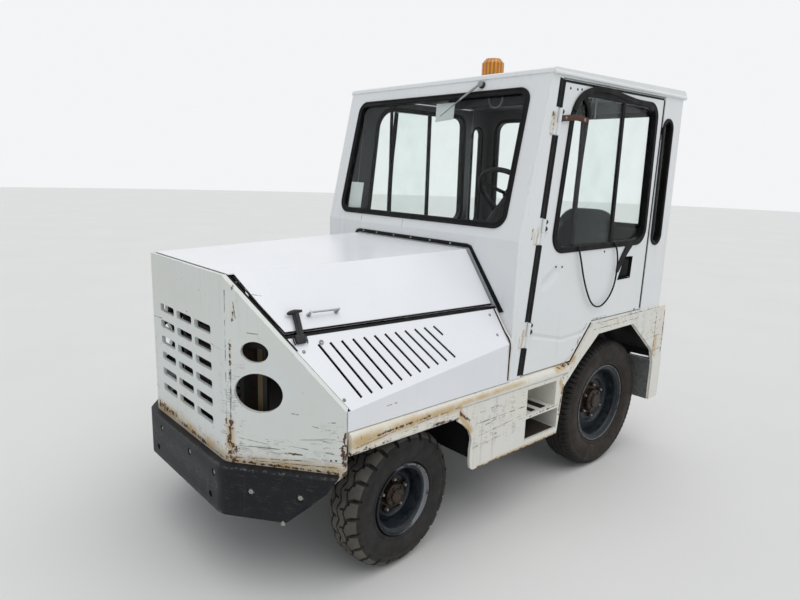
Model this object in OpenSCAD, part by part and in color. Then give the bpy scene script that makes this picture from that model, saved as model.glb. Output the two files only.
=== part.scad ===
// Airport baggage tug with a glazed cab, in millimetres.
// The front faces -Y, the left side is +X, the floor is z = 0.
// Lengths along the vehicle are counted from the outer face of the nose plate and shifted by y_mid.

/* [Overall] */
// Half width of the body sides
side_x = 706; // [690:1:720]
// Half width of the cab
cab_x = 700; // [690:1:702]
// Front face of the bumper ahead of the nose plate
bumper_t = 30; // [24:1:40]
// Lower edge of the bumper
bumper_low = 338; // [330:1:345]
// Upper edge of the bumper
bumper_top = 539; // [530:1:560]
// How far the bumper ends short of each corner plate's rear edge
bumper_end = 25; // [15:1:35]
// Distance from the rear axle to the end of the tow jaw
rear_overhang = 636; // [626:1:666]

/* [Nose] */
// Half width of the flat nose plate
nose_hw = 337; // [330:1:345]
// Height of the nose plate's top edge
nose_z = 1245; // [1230:1:1260]
// Where the angled corner plate meets the body side
corner_y = 284; // [275:1:292]
// Height of the crease at the corner plate
crease_front_z = 780; // [770:1:790]
// Height of the crease at the cab
crease_rear_z = 889; // [880:1:895]
// Thickness of the nose plates
nose_t = 15; // [12:1:18]
// Bend radius between nose plate and corner plate
nose_bend_r = 60; // [40:1:70]
// Lower edge of the nose plates behind the bumper
nose_low = 352; // [345:1:380]
// Width of a grille slot
slot_w = 142; // [130:1:146]
// Height of a grille slot
slot_h = 33; // [26:1:40]
// Spacing of the slot columns
slot_dx = 171; // [165:1:176]
// Spacing of the slot rows
slot_dz = 71; // [66:1:74]
// Height of the lowest slot row
slot_z0 = 669; // [660:1:680]

/* [Hood] */
// Height of the seam between hood and louvre panel
seam_z = 1031; // [1020:1:1040]
// Rise of the hood top per millimetre of length
hood_rise = 0.026; // [0.02:0.001:0.03]
// Sheet thickness of hood and panels
sheet = 4; // [3:0.5:5]
// Rear edge of the hood
hood_rear = 1178; // [1170:1:1180]
// Louvre count on each side
louvre_n = 12; // [10:1:12]
// Louvre spacing
louvre_dy = 49; // [46:1:51]
// Louvre slot width
louvre_w = 11; // [8:1:14]

/* [Cab] */
// Front face of the cab wall
cab_front = 1197; // [1195:1:1199]
// Crease under the windshield
cab_crease_z = 1338; // [1330:1:1345]
// Lean of the windshield in degrees
lean = 12.6; // [12:0.1:13]
// Underside of the roof
roof_low = 2052; // [2045:1:2060]
// Top of the roof at its rear edge
roof_top = 2098; // [2090:1:2105]
// Wall thickness of cab and doors
wall = 30; // [28:1:32]
// Rear face of the cab
cab_rear = 2583; // [2578:1:2588]
// Gap round the doors
door_gap = 6; // [5:0.5:8]

/* [Wheels] */
// Front axle from the nose plate
front_axle_y = 620; // [612:1:630]
// Rear axle from the nose plate
rear_axle_y = 2134; // [2125:1:2140]
// Front tyre radius
front_r = 294; // [288:1:296]
// Rear tyre radius
rear_r = 365; // [358:1:368]
// Tyre width
tyre_w = 166; // [155:1:170]
// Centre plane of the front wheels
front_track_x = 566; // [560:1:570]
// Centre plane of the rear wheels
rear_track_x = 566; // [560:1:570]
// Kingpin inwards of its wheel's centre plane
kingpin_in = 114; // [111:1:118]
// Steering angle at which it stands parked, nose ends of the wheels turned to its left
park_steer = 4; // [0:1:8]
// Seat radius of the front rims
front_rim_r = 153; // [148:1:156]
// Seat radius of the rear rims
rear_rim_r = 220; // [216:1:224]
// Radial clearance in pin and hub bores
fit_gap = 0.5; // [0.3:0.1:1]

/* [Hidden] */
rear_end = rear_axle_y + rear_overhang;
y_mid = -(rear_end - bumper_t) / 2;
// Rear face of the ballast box, its front face, and the rear edge of the ledge
box_rear = rear_end - 85;
box_front = rear_axle_y + 423;
ledge_end = box_rear - 45;
tube_top = 706;
tube_low = 612;
rail_x0 = 210;
rail_x1 = 280;
rail_z0 = 440;
rail_z1 = 560;
fender_z = 888;
floor_z = 665;

// Plane of the slanted hood sides: through the nose corner and the crease
pa = [nose_hw, 0, nose_z];
pb = [side_x, corner_y, crease_front_z];
pc = [cab_x, 1152, crease_rear_z];
sn = cross(pb - pa, pc - pa) / norm(cross(pb - pa, pc - pa));
se1 = [-sn[1], sn[0], 0] / norm([-sn[1], sn[0], 0]);
se2 = cross(sn, se1);
corner_len = norm([side_x - nose_hw, corner_y]);
bumper_side = corner_len - bumper_end;
kingpin_x = front_track_x - kingpin_in;
cs = [(side_x - nose_hw) / corner_len, corner_y / corner_len];

function unit(v) = v / norm(v);
// Point of the slanted plane at a given length and height
function slant_pt(y, z) = [nose_hw - (sn[1] * y + sn[2] * (z - nose_z)) / sn[0], y, z];
function slant_uv(y, z) = let(d = slant_pt(y, z) - pa) [d * se1, d * se2];
// Height of the crease where the slanted plane meets the body side
function crease_z(y) = nose_z - (sn[0] * (side_x - nose_hw) + sn[1] * y) / sn[2];
// Front edge of the slanted plane at a height
function edge_y(z) = corner_y * (nose_z - z) / (nose_z - crease_front_z);
function hood_z(y) = nose_z + hood_rise * y;
function hood_x(y) = slant_pt(y, hood_z(y))[0];

// Arc between two directions round a corner of a polygon
function corner_arc(a, b, c, r, n) =
    let(u = unit(a - b), v = unit(c - b), ang = acos(u * v), d = r / tan(ang / 2),
        m = unit(u + v), o = b + m * (r / sin(ang / 2)), p = b + u * d - o, q = b + v * d - o,
        t0 = atan2(p[1], p[0]), t1 = atan2(q[1], q[0]), dt = t1 - t0,
        da = dt > 180 ? dt - 360 : (dt < -180 ? dt + 360 : dt))
    [for (i = [0 : n]) o + r * [cos(t0 + da * i / n), sin(t0 + da * i / n)]];
// Closed polygon with one radius per corner
function round_poly(pts, rad, n = 6) =
    let(k = len(pts))
    [for (i = [0 : k - 1]) each corner_arc(pts[(i + k - 1) % k], pts[i], pts[(i + 1) % k], rad[i], n)];
// Convex polygon moved inwards by d
function inset(pts, d) =
    let(k = len(pts))
    [for (i = [0 : k - 1])
        let(a = pts[(i + k - 1) % k], b = pts[i], c = pts[(i + 1) % k],
            u = unit(a - b), v = unit(c - b), ang = acos(u * v))
        b + unit(u + v) * (d / sin(ang / 2))];
function rect(x0, y0, x1, y1) = [[x0, y0], [x1, y0], [x1, y1], [x0, y1]];
function slot_pts(cx, cy, w, h, r) =
    round_poly(rect(cx - w / 2, cy - h / 2, cx + w / 2, cy + h / 2), [r, r, r, r], 4);
function oval(cx, cy, a, b, n = 40) =
    [for (i = [0 : n - 1]) [cx + a * cos(360 * i / n), cy + b * sin(360 * i / n)]];

module shift() translate([0, y_mid, 0]) children();
module both_sides() {
    children();
    mirror([1, 0, 0]) children();
}
module box(x0, y0, z0, x1, y1, z1) translate([x0, y0, z0]) cube([x1 - x0, y1 - y0, z1 - z0]);
// Outline in y and z carried along x
module prism_x(pts, x0, x1)
    multmatrix([[0, 0, 1, x0], [1, 0, 0, 0], [0, 1, 0, 0], [0, 0, 0, 1]])
        linear_extrude(x1 - x0) polygon(pts);
// Outline in x and z carried along y
module prism_y(pts, y0, y1)
    translate([0, y1, 0]) rotate([90, 0, 0]) linear_extrude(y1 - y0) polygon(pts);
module rod(p, q, r) {
    d = q - p;
    translate(p) rotate([0, acos(d[2] / norm(d)), atan2(d[1], d[0])]) cylinder(r = r, h = norm(d), $fn = 24);
}
// Frame whose x and y lie in the slanted plane and whose z points out of it
module on_slant()
    multmatrix([[se1[0], se2[0], sn[0], pa[0]], [se1[1], se2[1], sn[1], pa[1]],
                [se1[2], se2[2], sn[2], pa[2]], [0, 0, 0, 1]]) children();
module slant_sheet(yz, t0, t1)
    on_slant() translate([0, 0, t0]) linear_extrude(t1 - t0) polygon([for (p = yz) slant_uv(p[0], p[1])]);
// Frame of the angled corner plate: x along the plate, y into the nose, z up
module on_corner()
    multmatrix([[cs[0], -cs[1], 0, nose_hw], [cs[1], cs[0], 0, 0], [0, 0, 1, 0], [0, 0, 0, 1]]) children();
// Frame of the windshield: x across, y up the slope, z out of the glass
module on_screen() translate([0, cab_front, cab_crease_z]) rotate([90 - lean, 0, 0]) children();

// Outline in plan that follows the nose, between two distances outside its outer face
function nose_path(d, x1) =
    let(r = nose_bend_r + d, p = [nose_hw + d * tan(atan2(corner_y, side_x - nose_hw) / 2), -d],
        e = [nose_hw + cs[0] * x1 + cs[1] * d, cs[1] * x1 - cs[0] * d])
    concat([e], corner_arc(e, p, [0, -d], r, 6));
function nose_band(d0, d1, x1) =
    let(a = nose_path(d1, x1), b = nose_path(d0, x1), na = len(a), nb = len(b))
    concat(a, [for (i = [na - 1 : -1 : 0]) [-a[i][0], a[i][1]]],
           [for (i = [0 : nb - 1]) [-b[i][0], b[i][1]]], [for (i = [nb - 1 : -1 : 0]) b[i]]);

module frame() shift() {
    // Two channel rails
    both_sides() difference() {
        box(rail_x0, nose_t, rail_z0, rail_x1, box_front, rail_z1);
        box(rail_x0 - 1, nose_t + 40, rail_z0 + 10, rail_x1 - 10, box_front - 45, rail_z1 - 10);
    }
    // Cross members
    for (y = [nose_t, 1180, 1800])
        box(-rail_x1 + 10, y, 460, rail_x1 - 10, y + 35, 540);
    // Outriggers that carry the cab floor and the sills
    for (y = [1010, 1596])
        box(-640, y, rail_z1 - 1, 640, y + 26, floor_z - 10);
    both_sides() {
        // Shelf in the nose corner and the strut behind the lamp holes
        on_corner() {
            box(105, 66, 567, 140, 86, 1000);
            box(60, 60, 968, 185, 67, 1030);
        }
        translate([0, 0, rail_z1 - 1]) linear_extrude(9)
            polygon([[rail_x0, nose_t], [300, nose_t], [610, 240], [500, 255], [rail_x0, 255]]);
    }
}

module nose_shell() shift() difference() {
    translate([0, 0, nose_low]) linear_extrude(nose_z - nose_low) polygon(nose_band(-nose_t, 0, corner_len));
    // Slanted top of the corner plates
    both_sides() on_slant() translate([-600, -900, 0]) cube([2400, 1600, 300]);
    both_sides() on_corner() {
        prism_y([[corner_len - 211, nose_low - 2], [corner_len + 9, nose_low - 2], [corner_len + 9, 576],
                 [corner_len, 543], [corner_len - 32, 512], [corner_len - 61, 482]], -12, 40);
        prism_y(oval(122, 972, 53, 39), -12, 40);
        prism_y(oval(135, 820, 93, 74), -12, 40);
    }
    for (i = [-1 : 1], k = [0 : 5])
        prism_y(slot_pts(i * slot_dx, slot_z0 + k * slot_dz, slot_w, slot_h, 9), -2, nose_t + 2);
}

module bumper() shift() difference() {
    translate([0, 0, bumper_low]) linear_extrude(bumper_top - bumper_low)
        polygon(nose_band(0.3, bumper_t, bumper_side));
    both_sides() on_corner() translate([bumper_side, 0, 0])
        prism_y([[-194, bumper_low - 2], [-106, 411], [-38, 474], [-4, 525], [9, 535],
                 [9, bumper_low - 2]], -40, 10);
    both_sides() on_corner() for (s = [112, 303])
        translate([s, -bumper_t - 1, 445]) rotate([-90, 0, 0]) cylinder(r = 14, h = 9, $fn = 24);
    for (x = [-215, 75, 355 - 60])
        translate([x, -bumper_t - 1, 487]) rotate([-90, 0, 0]) cylinder(r = 14, h = 9, $fn = 24);
    for (x = [-262, 262])
        translate([x, -bumper_t - 1, 385]) rotate([-90, 0, 0]) cylinder(r = 13, h = 20, $fn = 24);
}

module side_panels() shift() both_sides() {
    rear = cab_front - 0.5;
    difference() {
        slant_sheet([[edge_y(crease_z(305)) + 21, crease_z(305)], [edge_y(seam_z - 5) + 21, seam_z - 5],
                     [rear, seam_z - 5], [rear, crease_z(rear)]], -sheet, 0);
        // Slanted louvre slots, the last one short
        for (k = [0 : louvre_n - 1]) {
            y0 = 272 + louvre_dy * k;
            t = k == louvre_n - 1 ? 0.32 : 1;
            z1 = 814 + 0.127 * (y0 + 92 - 361);
            a = slant_uv(y0, 996);
            b = slant_uv(y0 + 92 * t, 996 + (z1 - 996) * t);
            on_slant() translate([a[0], a[1], -sheet - 2])
                rotate(atan2(b[1] - a[1], b[0] - a[0])) translate([0, -louvre_w / 2, 0])
                cube([norm(b - a), louvre_w, sheet + 4]);
        }
        box(side_x, 0, 600, side_x + 60, 2000, 1000);
    }
    // Upright lower panel down to the sill tube
    prism_x([[corner_y + 6, tube_top], [corner_y + 6, crease_z(corner_y + 6)],
             [rear, crease_z(rear)], [rear, tube_top]], side_x - sheet, side_x);
}

// Hollow rounded sill tube between two lengths
module sill_tube(y0, y1, z0)
    difference() {
        prism_y(round_poly(rect(646, z0, 718, tube_top), [6, 14, 30, 4], 5), y0, y1);
        prism_y(round_poly(rect(652, z0 + 6, 712, tube_top - 6), [3, 8, 22, 3], 5), y0 + 6, y1 - 6);
    }

module sills() shift() both_sides() {
    sill_tube(corner_y + 13, 862, tube_low);
    sill_tube(861, 1660, 655);
    // Lower side plate with the step openings
    difference() {
        prism_x([[860, 600], [897, 576], [933, 541], [949, 510], [952, 490], [946, 446], [947, 384], [953, 361],
                 [968, 350], [1596, 350], [1628, 590], [1660, 618], [1660, 656], [860, 656]], 700, 712);
        prism_x(slot_pts(1447, 573, 228, 128, 4), 698, 714);
        prism_x(slot_pts(1460, 438, 256, 106, 4), 698, 714);
    }
    // Step box behind the openings
    difference() {
        box(520, 1326, 379, 701, 1594, 655);
        box(526, 1333, 385, 702, 1588, 491);
        box(526, 1333, 509, 702, 1561, 637);
    }
    box(647, 1326, 643, 701, 1594, 658);
    // Closing plates over the front wheel and behind it
    box(rail_x1 - 1, 300, 620, 647, 962, 626);
    box(rail_x1, 300, rail_z1 - 2, rail_x1 + 6, 962, 621);
    box(500, 990, 668, 647, 1197, 674);
}

// Wheel arch, its inner and outer face, counted from the rear axle
function from_axle(pts) = [for (p = pts) [rear_axle_y + p[0], p[1]]];
arch = from_axle([[-532, 350], [-500, 587], [-372, 699], [-218, 815],
                  [133, 818], [384, 628], [418, 543], [418, 312]]);
arch_out = from_axle([[-538, 350], [-506, 590], [-376, 704], [-220, 821],
                      [135, 824], [390, 631], [424, 544], [424, 312]]);

module rear_body() shift() {
    both_sides() {
        // Outer skin with the arch
        prism_x(concat([[1660, 618]], [for (i = [2 : 7]) arch_out[i]],
                       [[box_rear - 35, 312], [box_rear - 30, 719], [ledge_end, fender_z], [1852, fender_z],
                        [1684, tube_top],
                        [1660, tube_top]]), 700, 712);
        // Arch lining
        prism_x(concat([for (i = [0 : 7]) arch[i]], [for (i = [7 : -1 : 0]) arch_out[i]]), 436, 700.5);
        // Bearer under the rear cab side
        box(664, 1852, fender_z - 8, 701, cab_rear - wall, fender_z);
    }
    // Ledge behind the cab and rear panel
    box(-700, cab_rear - wall, fender_z - 8, 700, ledge_end, fender_z);
    prism_x([for (p = [[53, fender_z - 7], [45, fender_z - 7], [30, 719], [35, 562], [43, 562], [38, 719]])
             [box_rear - p[0], p[1]]], -701, 701);
    // Rear ballast box
    box(-701, box_front, 312, 701, box_rear, 564);
}

module leaf_pack(y, z, span) {
    for (k = [0 : 3]) {
        s = span * (1 - 0.2 * k);
        n = 8;
        sag = 34 * pow(s / span, 2);
        prism_x(concat([for (i = [-n : n]) [y + s * i / n, z + 8 * k + sag * pow(i / n, 2)]],
                       [for (i = [n : -1 : -n]) [y + s * i / n, z + 8 * k + 8 + sag * pow(i / n, 2)]]),
                215, 275);
    }
}

module front_axle() shift() {
    z = front_r;
    difference() {
        union() {
            box(54 - kingpin_x, front_axle_y - 38, z - 38, kingpin_x - 54, front_axle_y + 38, z + 38);
            both_sides() for (h = [z - 64, z + 44]) translate([kingpin_x, front_axle_y, h])
                cylinder(r = 32, h = 20, $fn = 40);
            both_sides() {
                box(kingpin_x - 92, front_axle_y - 30, z - 64, kingpin_x, front_axle_y + 30, z - 44);
                box(kingpin_x - 92, front_axle_y - 30, z + 44, kingpin_x, front_axle_y + 30, z + 64);
                box(kingpin_x - 92, front_axle_y - 30, z - 64, kingpin_x - 54, front_axle_y + 30, z + 64);
            }
        }
        both_sides() translate([kingpin_x, front_axle_y, z - 80])
            cylinder(r = 14 + fit_gap, h = 160, $fn = 40);
        both_sides() translate([kingpin_x, front_axle_y, z - 44]) cylinder(r = 46, h = 88, $fn = 40);
    }
    // Springs between axle and rails
    both_sides() {
        leaf_pack(front_axle_y, z + 38, 250);
        box(220, front_axle_y - 40, z + 70, 270, front_axle_y + 40, rail_z0);
        for (d = [-1, 1])
            box(225, front_axle_y + d * 232 - 12, z + 71, 265, front_axle_y + d * 232 + 12, rail_z0);
    }
}

module rear_axle() shift() {
    z = rear_r;
    // Tube, differential housing, drums and stub axles in one turned profile
    translate([0, rear_axle_y, z]) rotate([0, 90, 0]) rotate_extrude($fn = 64)
        polygon([[0, -565], [30, -565], [30, -475], [135, -475], [135, -425], [46, -425], [46, -140],
                 [84, -116], [118, -66], [128, 0], [118, 66], [84, 116], [46, 140], [46, 425], [135, 425],
                 [135, 475], [30, 475], [30, 565], [0, 565]]);
    both_sides() box(220, rear_axle_y - 40, z + 30, 270, rear_axle_y + 40, rail_z0);
}

module engine_block() shift() {
    box(-205, 360, 500, 205, 1000, 980);
    // Mounts on the rails
    both_sides() for (y = [440, 900]) box(205, y, rail_z1, 250, y + 60, 590);
}

module radiator() shift() difference() {
    box(-280, 110, rail_z1 + 8, 280, 180, 1110);
    for (k = [0 : 17]) box(-250, 100, 600 + 28 * k, 250, 122, 612 + 28 * k);
}

screen_pts = [[-612, 44], [612, 44], [604, 676], [-604, 676]];
rear_pts = [[-615, 1330], [615, 1330], [615, 1994], [-615, 1994]];
quarter_pts = rect(2378, 1256, 2496, 1941);

module cab_front_wall() shift() {
    k = tan(lean);
    y1 = cab_front + k * (roof_low - cab_crease_z);
    difference() {
        union() {
            prism_x([[cab_front, tube_top], [cab_front, cab_crease_z], [y1, roof_low], [y1 + wall, roof_low],
                     [cab_front + wall, cab_crease_z], [cab_front + wall, tube_top]], -cab_x, cab_x);
            box(-646, cab_front, floor_z - 10, 646, cab_front + wall, tube_top + 1);
            // Hood hinge ears
            for (s = [-1, 1], d = [-46, 38]) translate([s * 250 + d, 0, 0])
                prism_x([[1159, 1250], [1159, 1264], [1174, 1264], [1179, 1256], [1181, 1249],
                         [cab_front + 1, 1249], [cab_front + 1, 1230], [1176, 1240]], 0, 8);
            for (s = [-1, 1]) translate([s * 250 - 40, 1168, 1258]) rotate([0, 90, 0])
                cylinder(r = 4, h = 80, $fn = 24);
        }
        on_screen() translate([0, 0, -60]) linear_extrude(90)
            polygon(round_poly(screen_pts, [70, 70, 62, 62], 6));
    }
}

// Door outline in y and z, grown by g
slope = (1441 - 1286) / (2034 - 713);
function door_pts(g) = [
    [1286 - g * 1.007 - slope * g, 713 - g], [1441 - g * 1.007 + slope * g, 2034 + g], [2376 + g, 2042 + g],
    [2352 + g, 898 - g], [1850 - 0.4 * g, 898 - g], [1679 - 0.4 * g, 713 - g]];
win_pts = [[1440, 1269], [1528, 2004], [2310, 2006], [2316, 1271]];
win_rad = [84, 150, 80, 88];

module cab_side_walls() shift() both_sides() {
    k = tan(lean);
    x0 = cab_x - wall - 2;
    difference() {
        prism_x([[cab_front + wall, tube_top], [cab_front + wall, cab_crease_z],
                 [cab_front + wall + k * (roof_low - cab_crease_z), roof_low], [cab_rear - wall, roof_low],
                 [cab_rear - wall, fender_z], [1700, fender_z], [1700, tube_top]], x0, cab_x);
        prism_x(concat(door_pts(door_gap), [[1600, 600]]), x0 - 1, cab_x + 1);
        prism_x(door_pts(door_gap), x0 - 1, cab_x + 1);
        prism_x(rect(1300, 600, 1720, 713), x0 - 1, cab_x + 1);
        prism_x(rect(1652, 600, 1840, 892), x0 - 1, cab_x + 1);
        prism_x(round_poly(quarter_pts, [58, 58, 58, 58], 8), x0 - 1, cab_x + 1);
    }
    // Fixed lower halves of the lift-off hinges, with their pins
    for (z = hinge_zs) hinge_at(z) {
        translate([0, 0, -57]) cylinder(r = 8, h = 56.5, $fn = 24);
        translate([0, 0, -57]) cylinder(r = 4, h = 98, $fn = 24);
        translate([-10, -48, -55]) cube([6, 48, 52]);
    }
}

// Heights at which the two halves of each door hinge meet
hinge_zs = [903, 1371, 1850];

axis_x = 709;
function axis_y(z) = 1286 - 5 + slope * (z - 713);
// Frame on the leaning door axis at a height
module hinge_at(z) translate([axis_x, axis_y(z), z]) rotate([-atan(slope), 0, 0]) children();

module cab_rear_wall() shift() difference() {
    prism_y([[-cab_x, fender_z], [cab_x, fender_z], [cab_x, roof_low], [-cab_x, roof_low]],
            cab_rear - wall, cab_rear);
    prism_y(round_poly(rear_pts, [90, 90, 90, 90], 6), cab_rear - wall - 1, cab_rear + 1);
}

// The roof rises straight from its front edge to the rear
roof_front = 1370;
roof_rear = 2580;
roof_ang = atan2(roof_top - roof_low - 23, roof_rear - roof_front);
function roof_z(y) = roof_low + 23 + (y - roof_front) * tan(roof_ang);

module roof() shift() prism_x([[1353, roof_low], [1358, roof_low + 17], [roof_front, roof_low + 23],
                               [roof_rear, roof_top], [2600, roof_top - 8], [2606, roof_top - 20],
                               [2606, roof_low]], -704, 704);

module cab_floor() shift() {
    x1 = cab_x - wall - 2;
    // Foot area, seat platform and the walls between them
    box(-646, cab_front + wall, floor_z - 10, 646, 1702, floor_z);
    box(-436, 1701, floor_z - 10, 436, 1790, floor_z);
    box(-x1 + 4, 1830, fender_z - 8, x1 - 4, cab_rear - wall, fender_z);
    box(-436, 1790, floor_z - 10, 436, 1831, fender_z - 7);
    // Inner walls of the wheel boxes
    both_sides() box(428, 1826, rail_z1, 436, 2540, fender_z - 7);
    both_sides() box(435, 1822, 763, x1 - 4, 1831, fender_z);
    // Seat box
    box(100, 1900, fender_z - 1, 500, 2300, 985);
}

module dashboard() shift() {
    prism_x([[cab_front + wall, 1050], [cab_front + wall, 1290], [1262, 1318], [1330, 1300], [1400, 1170],
             [1350, 1050]], -664, 664);
    // Steering column
    rod([300, 1330, 1230], [300, 1606, 1494], 26);
    rod([300, 1606, 1494], [300, 1624, 1511], 10);
}

module seat_cushion() shift()
    prism_x(round_poly([[1880, 985], [1880, 1085], [2330, 1070], [2330, 985]], [20, 40, 20, 10], 5), 70, 530);

module seat_back() shift()
    prism_x(round_poly([[2250, 1077], [2330, 1440], [2420, 1440], [2350, 1067]], [10, 35, 40, 20], 5), 80, 520);

module cab_glass() shift() {
    on_screen() translate([0, 0, -14]) linear_extrude(6)
        polygon(round_poly(inset(screen_pts, 24), [46, 46, 38, 38], 6));
    prism_y(round_poly(inset(rear_pts, 24), [66, 66, 66, 66], 6), cab_rear - 18, cab_rear - 12);
    both_sides() prism_x(round_poly(inset(quarter_pts, 16), [42, 42, 42, 42], 8), cab_x - 18, cab_x - 13);
}

module body_seals() shift() {
    hood_seals();
    on_screen() translate([0, 0, -26]) linear_extrude(31) difference() {
        polygon(round_poly(screen_pts, [70, 70, 62, 62], 6));
        polygon(round_poly(inset(screen_pts, 24), [46, 46, 38, 38], 6));
    }
    difference() {
        prism_y(round_poly(rear_pts, [90, 90, 90, 90], 6), cab_rear - 32, cab_rear + 5);
        prism_y(round_poly(inset(rear_pts, 24), [66, 66, 66, 66], 6), cab_rear - 33, cab_rear + 6);
    }
    both_sides() difference() {
        prism_x(round_poly(quarter_pts, [58, 58, 58, 58], 8), cab_x - 33, cab_x + 5);
        prism_x(round_poly(inset(quarter_pts, 16), [42, 42, 42, 42], 8), cab_x - 34, cab_x + 6);
    }
}

module hood_seals() {
    both_sides() {
        // Along the louvre panel
        slant_sheet([[edge_y(seam_z) + 28, seam_z - 5], [edge_y(seam_z) + 28, seam_z + 4],
                     [cab_front - 2, seam_z + 4], [cab_front - 2, seam_z - 5]], -8, 1);
        // Along the corner plate
        slant_sheet([[edge_y(nose_z - 8) + 22, nose_z - 8], [edge_y(nose_z - 8) + 28, nose_z - 8],
                     [edge_y(seam_z - 5) + 28, seam_z - 5], [edge_y(seam_z - 5) + 22, seam_z - 5]], -12, 1);
    }
    box(24 - nose_hw, nose_t, nose_z - 14, nose_hw - 24, nose_t + 6, nose_z - 1);
    // Flap on the cab wall above the hood
    both_sides() prism_y([[-1, 1280], [-1, 1298], [405, 1298], [432, 1292], [646, 1016], [624, 1009],
                          [423, 1278], [414, 1280]], cab_front - 5, cab_front);
}

module beacon() shift() translate([0, 1780, roof_z(1780) + 0.3]) rotate([roof_ang, 0, 0]) {
    cylinder(r = 66, h = 41, $fn = 48);
    translate([0, 0, 40]) cylinder(r = 60, h = 86, $fn = 48);
    translate([0, 0, 125]) cylinder(r1 = 60, r2 = 40, h = 24, $fn = 48);
}

module wiper() shift() on_screen() {
    translate([311, 705, 0]) cylinder(r = 14, h = 22, $fn = 32);
    translate([311, 705, 18]) rotate(atan2(-138, -226)) translate([0, -5, 0]) cube([128, 10, 5]);
    // Bare rod, the blade is missing
    rod([206, 641, 20.5], [82, 565, 14], 2.8);
}

module tow_jaw() shift() difference() {
    union() {
        box(-90, box_rear, 350, 90, box_rear + 12, 490);
        for (z = [375, 441]) translate([0, 0, z]) linear_extrude(24)
            polygon(round_poly(rect(-65, box_rear + 12, 65, rear_end), [1, 1, 50, 50], 8));
    }
    translate([0, rear_end - 48, 360]) cylinder(r = 19, h = 120, $fn = 48);
}

module tail_lamps() shift() both_sides()
    prism_x([for (p = [[-35 + 5 * 58 / 157, 620], [-35 + 5 * 128 / 157, 690], [-5, 690], [-5, 620]])
             [box_rear + p[0], p[1]]], 560, 650);

module hood_lid() shift() {
    ang = atan(hood_rise);
    y0 = 33;
    // Top sheet
    translate([0, 0, nose_z]) rotate([ang, 0, 0]) translate([0, 0, -sheet]) linear_extrude(sheet)
        polygon([[-hood_x(26), 26], [hood_x(26), 26], [hood_x(hood_rear), hood_rear],
                 [-hood_x(hood_rear), hood_rear]]);
    // Slanted sides, cut off at the top
    difference() {
        both_sides() slant_sheet([[edge_y(seam_z + 10) + y0, seam_z + 10], [edge_y(nose_z) + y0, nose_z + 30],
                                  [hood_rear, nose_z + 60], [hood_rear, seam_z + 10]], -sheet, 0);
        translate([0, 0, nose_z]) rotate([ang, 0, 0]) translate([-800, -100, 0]) cube([1600, 1500, 200]);
    }
    // Hinge barrels
    for (s = [-1, 1]) difference() {
        union() {
            translate([s * 250 - 34, 1168, 1258]) rotate([0, 90, 0]) cylinder(r = 7.5, h = 68, $fn = 24);
            box(s * 250 - 34, 1120, 1262, s * 250 + 34, 1168, 1272);
        }
        translate([s * 250 - 35, 1168, 1258]) rotate([0, 90, 0]) cylinder(r = 4 + fit_gap, h = 70, $fn = 24);
    }
}

module hood_latches() shift() both_sides() {
    a = slant_uv(225, 1096);
    b = slant_uv(216, 1006);
    on_slant() {
        translate([a[0], a[1], 0]) {
            translate([-10, -14, 0]) cube([22, 20, 12]);
            translate([-24, 6, 6]) cube([52, 14, 12]);
        }
        translate([b[0], b[1] + 12, 7]) rotate(atan2(a[1] - b[1] - 12, a[0] - b[0])) translate([0, -10, 0])
            cube([norm(a - b) - 10, 20, 8]);
        translate([b[0] - 15, b[1] - 6, 7]) cube([32, 24, 11]);
    }
}

module hood_handles() shift() both_sides() {
    a = slant_uv(275, 1091);
    b = slant_uv(392, 1090);
    on_slant() {
        for (p = [a, b]) translate([p[0], p[1], 0]) cylinder(r = 9, h = 5, $fn = 24);
        for (p = [a, b]) translate([p[0], p[1], 0]) cylinder(r = 5, h = 29, $fn = 24);
        rod([a[0], a[1], 24], [b[0], b[1], 24], 3.8);
    }
}

module door_shell() {
    x0 = cab_x - wall - 2;
    difference() {
        prism_x(door_pts(0), x0, cab_x - 2);
        prism_x(round_poly(win_pts, win_rad, 8), x0 - 1, cab_x);
        // Handle recess
        prism_x(round_poly([[2066, 1088], [2122, 1210], [2206, 1208], [2198, 1090]], [10, 10, 10, 10], 3),
                cab_x - 20, cab_x);
    }
    prism_x(round_poly([[2094, 1110], [2130, 1192], [2180, 1190], [2174, 1110]], [8, 8, 8, 8], 3),
            cab_x - 21, cab_x - 10);
    // Upper halves of the lift-off hinges
    for (z = hinge_zs) hinge_at(z) difference() {
        union() {
            cylinder(r = 8, h = 60, $fn = 24);
            translate([-12, 0, 4]) cube([6, 52, 52]);
        }
        translate([0, 0, -1]) cylinder(r = 4 + fit_gap, h = 45, $fn = 24);
    }
}

module door_glass() {
    // Two sliding panes that overlap in the middle
    w = inset(win_pts, 26);
    r = [60, 126, 56, 64];
    intersection() {
        prism_x(round_poly(w, r, 8), cab_x - 15, cab_x - 10);
        prism_x(rect(1400, 1200, 1966, 2100), cab_x - 16, cab_x - 9);
    }
    intersection() {
        prism_x(round_poly(w, r, 8), cab_x - 26, cab_x - 21);
        prism_x(rect(1652, 1200, 2400, 2100), cab_x - 27, cab_x - 20);
    }
}

module door_rubber() {
    w = inset(win_pts, 26);
    r = [60, 126, 56, 64];
    difference() {
        prism_x(round_poly(win_pts, win_rad, 8), cab_x - 36, cab_x + 4);
        prism_x(round_poly(w, r, 8), cab_x - 37, cab_x + 5);
    }
    // Upright edges of the panes
    intersection() {
        prism_x(round_poly(w, r, 8), cab_x - 27, cab_x - 8);
        union() {
            prism_x(rect(1966, 1200, 1986, 2100), cab_x - 19, cab_x - 8);
            prism_x(rect(1634, 1200, 1652, 2100), cab_x - 27, cab_x - 17);
        }
    }
}

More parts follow.
